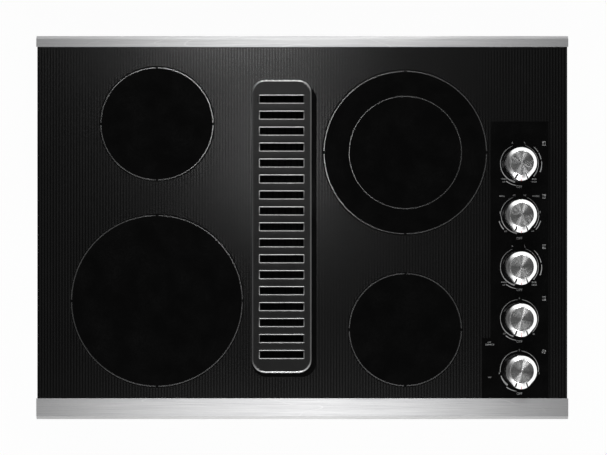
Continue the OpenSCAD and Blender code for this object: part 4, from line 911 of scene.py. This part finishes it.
# Rows of the recess, from its radius outward, and of the side, from the edge outward, each with its height
SEAT_ROWS = ((-0.4, SEAT_FLOOR), (0.0, 30.3), (0.08, 32.9), (0.18, 33.3), (0.32, 33.47))
SIDE_ROWS = ((0.0, 25.0), (0.0, 20.0), (0.0, 15.5), (0.0, 13.6), (-0.25, 12.9), (-0.9, KNOB_FOOT))
EDGE_ROWS = ((-0.1, 0.35), (0.0, 0.9))      # rows of the rounded edge and their fall below the rim's end
FOOT_SHARE = 0.6            # the underside's last row, as a share of the outline

# Strips on a knob, the black notch strips being painted shade: half width, top and underside from the surface
# below them
NOTCH_SHADE = (1.0, 0.34, -0.1)
NOTCH_SHADE_ENDS = (0.6, 0.3)                # gaps to the recess and to the edge
NOSE_LINE = (0.4, 0.05, -0.15)
NOSE_LINE_START = 19.0      # distance from the knob's middle
NOSE_LINE_LOWEST = 22.0     # height that the line stays above

# The insert: its radius and foot, the dish's reach, floor and rise, and its rows outside the dish
INSERT_RADIUS = 16.5
INSERT_FOOT = 31.0
INSERT_STEPS = 128
DISH_REACH = 16.0
DISH_FLOOR = 32.45
DISH_RISE = 0.3
DISH_RADII = (0.4, 2.0, 4.0, 6.0, 8.0, 10.0, 12.0, 14.0, 15.6)
CHAMFER_ROWS = ((16.2, 32.72), (INSERT_RADIUS, 32.4), (INSERT_RADIUS, INSERT_FOOT))


def full_turn(points):
    """Angles round a circle, in radians from -pi on."""
    return np.linspace(-math.pi, math.pi, points + 1)[:-1]


def knob_outline(angle):
    """Distance of the knob's edge from its middle: the circle, pushed out by a blunt nose that points to -Y.

    The nose is bounded by a shallow arc at its end and by the two straight sides from the arc's corners
    that touch the circle; the edge is the larger of the circle and the nearest of the three bounds.
    """
    along = np.array([np.cos(angle), np.sin(angle)])
    middle = NOSE_REACH - NOSE_CURVE
    corner = np.array([NOSE_HALF, -middle - math.sqrt(NOSE_CURVE ** 2 - NOSE_HALF ** 2)])
    lean = math.atan2(corner[1], corner[0]) + math.acos(KNOB_RADIUS / np.linalg.norm(corner))
    sides = np.array([[math.cos(lean), math.sin(lean)], [-math.cos(lean), math.sin(lean)]])
    facing = sides @ along
    reach = KNOB_RADIUS / np.maximum(facing, LEAST_FACING)
    to_side = np.where(facing > LEAST_FACING, reach, np.inf).min(axis=0)
    down = -along[1] * middle
    to_end = down + np.sqrt(np.maximum(down ** 2 - middle ** 2 + NOSE_CURVE ** 2, 0.0))
    tip = np.minimum(to_side, to_end)
    inside = np.abs(angle + math.pi / 2.0) < math.pi / 2.0 + lean
    edge = np.where(inside, np.maximum(KNOB_RADIUS, tip), KNOB_RADIUS)
    kernel = np.hanning(BLENDED)
    return np.convolve(np.pad(edge, BLENDED // 2, mode="wrap"), kernel / kernel.sum(), "valid")


def knob_profile(edge):
    """Distances and heights, rows x points of the edge: recess, domed rim, side and foot.

    The rim's height falls from its crest by RIM_LEAN of its drop evenly and by the rest with the fourth
    power of the share of the way to the edge. The drop grows with the root of the rim's width.
    """
    share = np.linspace(0.0, 1.0, RIM_ROWS)[:, None]
    first = DISC_SEAT + RIM_FIRST
    last = edge - RIM_LAST
    drop = RIM_DROP * np.sqrt((last - first) / (KNOB_RADIUS - RIM_LAST - first))
    fall = drop * (RIM_LEAN * share + (1.0 - RIM_LEAN) * share ** 4)
    seat, bend, side = (np.array(rows) for rows in (SEAT_ROWS, EDGE_ROWS, SIDE_ROWS))
    level = np.zeros_like(edge)
    distance = [DISC_SEAT + seat[:, :1] + level, first * (1.0 - share) + last * share,
                bend[:, :1] + edge, side[:, :1] + edge, FOOT_SHARE * edge]
    height = [seat[:, 1:] + level, KNOB_TOP - fall,
              KNOB_TOP - drop - bend[:, 1:], side[:, 1:] + level, KNOB_FOOT + level]
    return np.vstack(distance), np.vstack(height)


def knob_shell(x, y):
    """The knob's skin: the profile of distance and height, swept round with the outline's distance.

    Two narrow notches run outward at either side of the nose: the height falls by a smooth bell of the angle.
    Each notch gets its own black strip of painted shade, which is made as a separate piece.
    """
    angle = full_turn(KNOB_STEPS)
    distance, height = knob_profile(knob_outline(angle))
    on_rim = (height.max(axis=1) > RIM_LOWEST) & (distance.max(axis=1) > DISC_SEAT + 0.1)
    depth = NOTCH_DEPTH * np.clip((distance - DISC_SEAT) / NOTCH_RUN, 0.0, 1.0) * on_rim[:, None]
    for side in (-1.0, 1.0):
        off = (angle - math.radians(NOSE_ANGLE + NOTCH_TURN * side)) * distance
        height = height - depth * np.exp(-(off / NOTCH_HALF) ** 2)
    return closed_skin(swept(x, y, angle, distance, height), (x, y, SEAT_FLOOR), (x, y, KNOB_FOOT))


def strip_along(x, y, turn, line, out, size):
    """A strip along a line of distance and height, in the direction turned by degrees round the knob.

    Each point of the line becomes four corners, moved aside by half the width and by the strip's top and
    underside along the point's own row of out.
    """
    half, top, under = size
    forward = np.array([math.cos(math.radians(turn)), math.sin(math.radians(turn))])
    aside = np.array([-forward[1], forward[0]])
    lift = np.array([top, top, under, under])
    reach, height = (line[:, k, None] + out[:, k, None] * lift for k in (0, 1))
    across = half * np.array([-1.0, 1.0, 1.0, -1.0])[:, None] * aside
    flat = reach[..., None] * forward + across + (x, y)
    rings = np.concatenate([flat, height[..., None]], axis=-1)
    return closed_skin(rings, rings[0].mean(axis=0), rings[-1].mean(axis=0))


def notch_shade(x, y, side):
    """A black strip of painted shade in the notch at a side of the nose: a narrow strip just above the
    notch's bottom.
    """
    turn = NOSE_ANGLE + side * NOTCH_TURN
    here = int(round((turn + 180.0) * KNOB_STEPS / 360.0))
    edge = knob_outline(full_turn(KNOB_STEPS))[here:here + 1]
    line = np.hstack(knob_profile(edge))
    inner, outer = NOTCH_SHADE_ENDS
    line = line[(line[:, 1] >= RIM_LOWEST) & (line[:, 0] > DISC_SEAT + inner) & (line[:, 0] < edge - outer)]
    line[:, 1] -= NOTCH_DEPTH * np.minimum((line[:, 0] - DISC_SEAT) / NOTCH_RUN, 1.0)
    upward = np.tile((0.0, 1.0), (len(line), 1))
    return strip_along(x, y, turn, line, upward, NOTCH_SHADE)


def nose_mark(x, y):
    """The red line on the nose: a narrow strip that follows the profile outward and down at its middle."""
    line = np.hstack(knob_profile(np.array([NOSE_REACH])))
    line = line[(line[:, 0] > NOSE_LINE_START) & (line[:, 1] > NOSE_LINE_LOWEST)]
    ahead = np.gradient(line, axis=0)
    ahead /= np.linalg.norm(ahead, axis=1, keepdims=True)
    out = np.stack([-ahead[:, 1], ahead[:, 0]], axis=1)
    return strip_along(x, y, NOSE_ANGLE, line, out, NOSE_LINE)


def spun_disc(x, y):
    """The insert: shallow dish whose height grows with the square of the radius, with a small chamfer."""
    dish = np.array(DISH_RADII)
    dish_rows = np.column_stack([dish, DISH_FLOOR + DISH_RISE * (dish / DISH_REACH) ** 2])
    rows = np.vstack([dish_rows, CHAMFER_ROWS])
    rings = swept(x, y, full_turn(INSERT_STEPS), rows[:, :1], rows[:, 1:])
    return closed_skin(rings, (x, y, DISH_FLOOR), (x, y, INSERT_FOOT))


def map_spin(piece, x, y):
    """Lays the piece's own map: turn round the middle across, distance from it upward.

    A face that crosses the map's seam has its low turns raised by one, so that it isn't drawn back over it.
    """
    mesh = piece.data
    layer = mesh.uv_layers.new(name="spin")
    corners = corners_of(mesh) / MM
    loops = np.empty(len(mesh.loops), int)
    mesh.loops.foreach_get("vertex_index", loops)
    turn = np.arctan2(corners[:, 1] - y, corners[:, 0] - x) / (2.0 * math.pi)
    reach = np.hypot(corners[:, 0] - x, corners[:, 1] - y) / INSERT_RADIUS
    flat = np.stack([turn[loops], reach[loops]], axis=1)
    starts = np.empty(len(mesh.polygons), int)
    mesh.polygons.foreach_get("loop_start", starts)
    owner = np.searchsorted(starts, np.arange(len(loops)), side="right") - 1
    highest = np.full(len(starts), -np.inf)
    np.maximum.at(highest, owner, flat[:, 0])
    behind = flat[:, 0] < highest[owner] - 0.5
    flat[behind, 0] += 1.0
    layer.data.foreach_set("uv", flat.ravel())


for knob in KNOBS:
    x, y = middle_of(knob + "_knob_disc")
    turning = knob + "_knob"
    shell = put_mesh(knob + "_knob_shell", *knob_shell(x, y), finishes["knob_metal"], turning, "knob_metal")
    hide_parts(knob + "_knob")
    insert = put_mesh(knob + "_spun_insert", *spun_disc(x, y), finishes["knob_disc"], turning, "knob_disc")
    map_spin(insert, x, y)
    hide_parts(knob + "_knob_disc")
    put_mesh(knob + "_nose_mark", *nose_mark(x, y), red_enamel, turning, "knob_metal")
    # black strips of painted shade in the two notches
    for hand, side in (("left", -1), ("right", 1)):
        put_mesh(knob + "_notch_shade_" + hand, *notch_shade(x, y, side), shade_enamel, turning, "knob_metal")


# Vent grille

GRILLE_HALF = (44.0, 215.5)     # half width and half length of the plate
GRILLE_CORNER = 20.0
CORNER_X = GRILLE_HALF[0] - GRILLE_CORNER
CORNER_Y = GRILLE_HALF[1] - GRILLE_CORNER
GRILLE_EDGE = 2.8               # rounding of the plate's rim
GRILLE_TOP = 13.5
GRILLE_UNDER = 9.9
GRILLE_FOOT = 8.8
GRILLE_WALL = 3.3               # width of the part round the rim that reaches down to the foot
SLOT_SHIFT = -0.6               # the slots' middle from the plate's middle, along it
SLOT_HALF = (32.1, 5.2)         # half length and half width of a slot's clear opening
SLOT_EDGE = 1.6                 # rounding of a slot's edge
SLOT_PITCH = 23.45
SLOTS = 17
RIM_HIGHLIGHT = 0.75                 # share of the painted highlight that the plate's rim gets
SLOT_HIGHLIGHT = 0.5                 # share of the painted highlight that the slots' edges get
SIDE_HIGHLIGHT = 0.12                # share of the painted highlight that the long sides get
HIGHLIGHT_REACH = 0.93               # share of a rounding that gets the painted highlight
SKIRT_HALF = (35.0, 206.5)      # half width and half length of the skirt
SKIRT_CORNER = 13.0
SKIRT_WALL = 1.6
SKIRT_TOP = 10.4
SKIRT_FOOT = -4.0

# Lines of the plate's grid: from its outline inward, from its middle outward and from a slot's rim outward
RIM_LINES = (0.0, 0.06, 0.25, 0.55, 0.95, 1.45, 2.05, 2.8, 3.1, 3.5)
CORNER_LINES = (6.0, 9.0, 12.0, 16.0, 20.0)
MIDDLE_LINES = (8.0, 16.0, 24.0)
SLOT_LINES = (0.0, 0.05, 0.2, 0.4, 0.7, 1.1, 1.6)


def rounded_drop(distance, radius):
    """How far a rounded edge falls: a quarter circle of the radius, counted from the edge inward."""
    left = np.clip(radius - distance, 0.0, radius)
    return radius - np.sqrt(radius ** 2 - left ** 2)


def past_corner(x, y):
    """How far a point lies past the middles of the round corners, across and along the plate."""
    return np.maximum(np.abs(x) - CORNER_X, 0.0), np.maximum(np.abs(y) - CORNER_Y, 0.0)


def inside_plate(x, y):
    """Distance from the plate's outline, which is a rectangle with round corners, counted inward."""
    over_x, over_y = past_corner(x, y)
    straight = np.minimum(GRILLE_HALF[0] - np.abs(x), GRILLE_HALF[1] - np.abs(y))
    round_part = GRILLE_CORNER - np.hypot(over_x, over_y)
    return np.where((over_x > 0.0) & (over_y > 0.0), round_part, straight)


def grille_lines():
    """Grid lines across and along the plate, close together on the rounded rim and at the slots' edges."""
    step = np.array(SLOT_LINES)
    from_sides = GRILLE_HALF[0] - np.array(RIM_LINES + CORNER_LINES[:1])
    half_x = np.concatenate([SLOT_HALF[0] + step, from_sides, MIDDLE_LINES])
    across = np.unique(np.round(np.concatenate([half_x, -half_x, [0.0]]), 3))
    middles = (np.arange(SLOTS) - (SLOTS - 1) / 2.0) * SLOT_PITCH + SLOT_SHIFT
    slot_lines = np.concatenate([SLOT_HALF[1] + step, -SLOT_HALF[1] - step])
    along = (middles[:, None] + slot_lines[None, :]).ravel()
    half_y = GRILLE_HALF[1] - np.array(RIM_LINES + CORNER_LINES)
    along = np.unique(np.round(np.concatenate([along, half_y, -half_y]), 3))
    return across, along, middles


def bent_grid(across, along):
    """Places of the grid's crossings, bent at the four corners, where a unit square becomes a quarter disc.

    There each side is multiplied by the root of 1 minus half the other side's square.
    """
    gx, gy = np.meshgrid(across, along, indexing="ij")
    u, v = (np.clip(past / GRILLE_CORNER, 0.0, 1.0) for past in past_corner(gx, gy))
    both = (u > 0.0) & (v > 0.0)
    bent_x = CORNER_X + GRILLE_CORNER * u * np.sqrt(1.0 - v ** 2 / 2.0)
    bent_y = CORNER_Y + GRILLE_CORNER * v * np.sqrt(1.0 - u ** 2 / 2.0)
    return gx, gy, np.where(both, np.sign(gx) * bent_x, gx), np.where(both, np.sign(gy) * bent_y, gy)


def edge_highlight(px, py, depth, slot, near):
    """How much painted highlight of bright metal the edges get: most at the edges that face along the plate,
    little on its sides.

    It falls evenly over the rounding's last third, and on the rim with the power 1.5 of the share in which
    the rim faces along the plate.
    """
    over_x, over_y = past_corner(px, py)
    towards_end = over_y / np.maximum(np.hypot(over_x, over_y), 1e-6)
    rim = np.clip(3.0 - 3.0 * depth / (HIGHLIGHT_REACH * GRILLE_EDGE), 0.0, 1.0)
    rim = RIM_HIGHLIGHT * rim * (SIDE_HIGHLIGHT + (1.0 - SIDE_HIGHLIGHT) * towards_end ** 1.5)
    edge = np.clip(3.0 - 3.0 * slot / (HIGHLIGHT_REACH * SLOT_EDGE), 0.0, 1.0)
    edge = SLOT_HIGHLIGHT * np.where(near < SLOT_HALF[1], SIDE_HIGHLIGHT, 1.0) * edge
    return np.maximum(rim, edge)


def grille_plate(x0, y0):
    """The slotted plate as one closed skin, with the painted highlight at each corner.

    The height is the plate's top less the drop of the rounded rim and of the slots' rounded edges. Cells in
    a slot are left out, and walls join the top and the underside along every border.
    """
    across, along, middles = grille_lines()
    gx, gy, px, py = bent_grid(across, along)
    depth = inside_plate(px, py)
    near = np.abs(gy[..., None] - middles).min(axis=-1)
    slot = np.hypot(np.maximum(np.abs(gx) - SLOT_HALF[0], 0.0), np.maximum(near - SLOT_HALF[1], 0.0))
    top = GRILLE_TOP - rounded_drop(depth, GRILLE_EDGE) - rounded_drop(slot, SLOT_EDGE)
    under = np.where(depth < GRILLE_WALL, GRILLE_FOOT, GRILLE_UNDER)
    corners = np.concatenate([np.stack([px + x0, py + y0, z], axis=-1).reshape(-1, 3) for z in (top, under)])
    cells_x = (across[:-1] + across[1:]) / 2.0
    cells_y = (along[:-1] + along[1:]) / 2.0
    in_slot_x = np.abs(cells_x) < SLOT_HALF[0]
    in_slot_y = np.abs(cells_y[:, None] - middles).min(axis=1) < SLOT_HALF[1]
    solid = ~(in_slot_x[:, None] & in_slot_y[None, :])
    count = gx.size
    number = np.arange(count).reshape(gx.shape)
    cell = np.stack([number[:-1, :-1], number[1:, :-1], number[1:, 1:], number[:-1, 1:]], axis=-1)
    upper = cell[solid]
    faces = [upper, upper[:, ::-1] + count]
    framed = np.pad(solid, 1)
    for shift, first, second in (((-1, 0), 3, 0), ((1, 0), 1, 2), ((0, -1), 0, 1), ((0, 1), 2, 3)):
        beyond = np.roll(framed, (-shift[0], -shift[1]), axis=(0, 1))[1:-1, 1:-1]
        open_side = cell[solid & ~beyond]
        a, b = open_side[:, first], open_side[:, second]
        faces.append(np.stack([a, a + count, b + count, b], axis=-1))
    faces = np.vstack(faces)
    used = np.unique(faces)
    renumber = np.zeros(len(corners), int)
    renumber[used] = np.arange(len(used))
    highlit = np.append(edge_highlight(px, py, depth, slot, near), np.zeros(count))
    return corners[used], renumber[faces].tolist(), highlit[used]


def rounded_rectangle(half_x, half_y, radius, points=12):
    """Points round a rectangle with round corners, from the middle of the right side, turning to the left."""
    path = []
    for turn, sx, sy in ((0.0, 1, 1), (90.0, -1, 1), (180.0, -1, -1), (270.0, 1, -1)):
        path.append(arc(sx * (half_x - radius), sy * (half_y - radius), radius, turn, turn + 90.0, points))
    return np.vstack(path)


def grille_skirt(x0, y0):
    """The skirt that drops into the vent: a thin upright rectangle carried round the rounded rectangle."""
    rings = []
    section = ((0.0, SKIRT_TOP), (0.0, SKIRT_FOOT), (SKIRT_WALL, SKIRT_FOOT), (SKIRT_WALL, SKIRT_TOP))
    for inset, height in section:
        path = rounded_rectangle(SKIRT_HALF[0] - inset, SKIRT_HALF[1] - inset, SKIRT_CORNER - inset)
        rings.append(np.column_stack([path + (x0, y0), np.full(len(path), height)]))
    rings = np.array(rings)
    number = np.arange(rings.shape[0] * rings.shape[1]).reshape(rings.shape[:2])
    return rings.reshape(-1, 3), quads_of(wrapped(wrapped(number, 0), 1).T).tolist()


vent_x, vent_y = middle_of("vent_grille")
plate_corners, plate_faces, highlit = grille_plate(vent_x, vent_y)
corners, faces = joined([(plate_corners, plate_faces), grille_skirt(vent_x, vent_y)])
grille = put_mesh("slotted_grille", corners, faces, finishes["grille"], "vent_grille", "grille")
# the painted highlight of each corner, for the grille's enamel to read
highlight_layer = grille.data.attributes.new("edge_highlight", "FLOAT", "POINT")
highlight_layer.data.foreach_set("value", np.append(highlit, np.zeros(len(corners) - len(highlit))))
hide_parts("vent_grille")


# Camera, lamps, floor and surroundings

CAMERA_PLACE = (1.8 * MM, -44.6 * MM, 2.170)
CAMERA_LENS = 87.08
CAMERA_SHIFT = 0.05

# Lamps: place, aim and size in metres, and power in watts
LAMPS = {
    "sheen_left": ((-0.30, 0.70, 2.17), (-0.15, 0.25, 0.0), (0.16, 0.12), 0.45),
    "sheen": ((-0.10, 0.72, 2.17), (-0.05, 0.25, 0.0), (0.20, 0.12), 0.8),
    "low_front": ((0.0, -0.62, 2.17), (0.0, -0.2, 0.0), (1.0, 0.12), 0.24),
    "overhead": ((-0.08, 0.25, 2.17), (-0.03, 0.1, 0.0), (0.10, 0.30), 0.42),
    "rear": ((0.0, 1.9, 1.9), (0.0, 0.0, 0.0), (0.9, 0.5), 15.5),
    "front_left": ((-0.45, -1.9, 1.9), (0.0, -0.2, 0.0), (0.15, 0.5), 9.0),
    "front": ((0.05, -1.9, 1.9), (0.0, 0.0, 0.0), (0.12, 0.5), 14.0),
    "front_right": ((0.35, -1.9, 1.9), (0.0, -0.2, 0.0), (0.15, 0.5), 8.0),
}

FLOOR_REACH = 9.0           # from the middle to the floor's sides, m
FLOOR_LINES = 13
FLOOR_GAP = 0.0015          # between the lowest point of the cooktop and the floor, m
FLOOR_GLOW = 0.95           # share of the floor's plain white that the camera and reflections see

# The room's light
ROOM_DARK = 0.03            # tone overhead
ROOM_LIGHT = 1.0            # tone at the horizon
ROOM_FADE = (0.55, 0.8)     # upward part of a direction over which the light falls from one to the other
ROOM_STRENGTH = 1.2
LEFT_FADE = (-0.72, -0.45)  # sideways part of a direction over which the light grows from the left
LEFT_SHARE = 0.06           # share of the light that is left on the far left


def make_camera():
    """Almost straight above the cooktop, with a long lens, as in the photograph."""
    data = bpy.data.cameras.new("camera")
    data.lens = CAMERA_LENS
    data.sensor_width = 36.0
    data.shift_y = CAMERA_SHIFT
    data.clip_end = 60.0
    camera = bpy.data.objects.new("camera", data)
    camera.location = CAMERA_PLACE
    bpy.context.scene.collection.objects.link(camera)
    bpy.context.scene.camera = camera


def make_lamp(name, place, aim, size, power):
    """A soft white rectangular lamp that looks from its place to the aim."""
    data = bpy.data.lights.new(name, "AREA")
    data.shape = "RECTANGLE"
    data.size, data.size_y = size
    data.energy = power
    lamp = bpy.data.objects.new(name, data)
    lamp.location = place
    direction = np.array(aim) - np.array(place)
    direction = direction / np.linalg.norm(direction)
    yaw = math.atan2(direction[1], direction[0]) - math.pi / 2.0
    pitch = math.acos(-direction[2])
    lamp.rotation_euler = (pitch, 0.0, yaw)
    bpy.context.scene.collection.objects.link(lamp)


def make_floor():
    """White floor: it is seen white by the camera and in reflections, and a share of it takes the shadow."""
    material = bpy.data.materials.new("white_floor")
    material.use_nodes = True
    tree = material.node_tree
    tree.nodes.clear()
    clouds = spots(tree, place_on_piece(tree), size=0.5)
    matt = add(tree, "BsdfDiffuse", {"Color": blend_colour(tree, clouds["Mask"], grey(0.88), grey(0.92))})
    glow = add(tree, "Emission", {"Color": grey(1.0), "Strength": 1.0})
    ray = add(tree, "LightPath").outputs
    mirrored = reckon(tree, "MAXIMUM", ray["Is Glossy Ray"], ray["Is Transmission Ray"])
    seen = reckon(tree, "MAXIMUM", ray["Is Camera Ray"], mirrored)
    white = product(tree, seen, FLOOR_GLOW)
    share = add(tree, "MixShader", {0: white, 1: matt.outputs[0], 2: glow.outputs[0]})
    add(tree, "OutputMaterial", {"Surface": share.outputs[0]})
    steps = np.linspace(-FLOOR_REACH, FLOOR_REACH, FLOOR_LINES)
    gx, gy = np.meshgrid(steps, steps, indexing="ij")
    corners = np.stack([gx, gy, np.full_like(gx, cad_box[0][2] - FLOOR_GAP)], axis=-1).reshape(-1, 3)
    faces = quads_of(np.arange(gx.size).reshape(gx.shape).T)
    new_object("floor", corners, faces, material)


def make_surroundings():
    """Plain room light: dim overhead, brighter towards the horizon and dimmer on the left.

    So flat glass stays dark and rims are bright. The camera sees plain white.
    """
    world = bpy.data.worlds.new("studio")
    world.use_nodes = True
    tree = world.node_tree
    tree.nodes.clear()
    aim = add(tree, "TexCoord").outputs["Generated"]
    towards = add(tree, "SeparateXYZ", {0: aim}).outputs
    tone = reckon(tree, "POWER", spread(tree, towards[2], *ROOM_FADE, 1.0, 0.0), 1.3)
    tone = product(tree, tone, spread(tree, towards[0], *LEFT_FADE, LEFT_SHARE, 1.0))
    seen = add(tree, "LightPath").outputs["Is Camera Ray"]
    room = blend_colour(tree, tone, grey(ROOM_DARK), grey(ROOM_LIGHT))
    colour = blend_colour(tree, seen, room, grey(1.0))
    back = add(tree, "Background", {"Color": colour, "Strength": between(tree, seen, ROOM_STRENGTH, 1.0)})
    add(tree, "OutputWorld", {"Surface": back.outputs[0]})
    bpy.context.scene.world = world


make_camera()
make_floor()
make_surroundings()
for name, values in LAMPS.items():
    make_lamp(name, *values)
bpy.context.scene.view_settings.view_transform = "Standard"
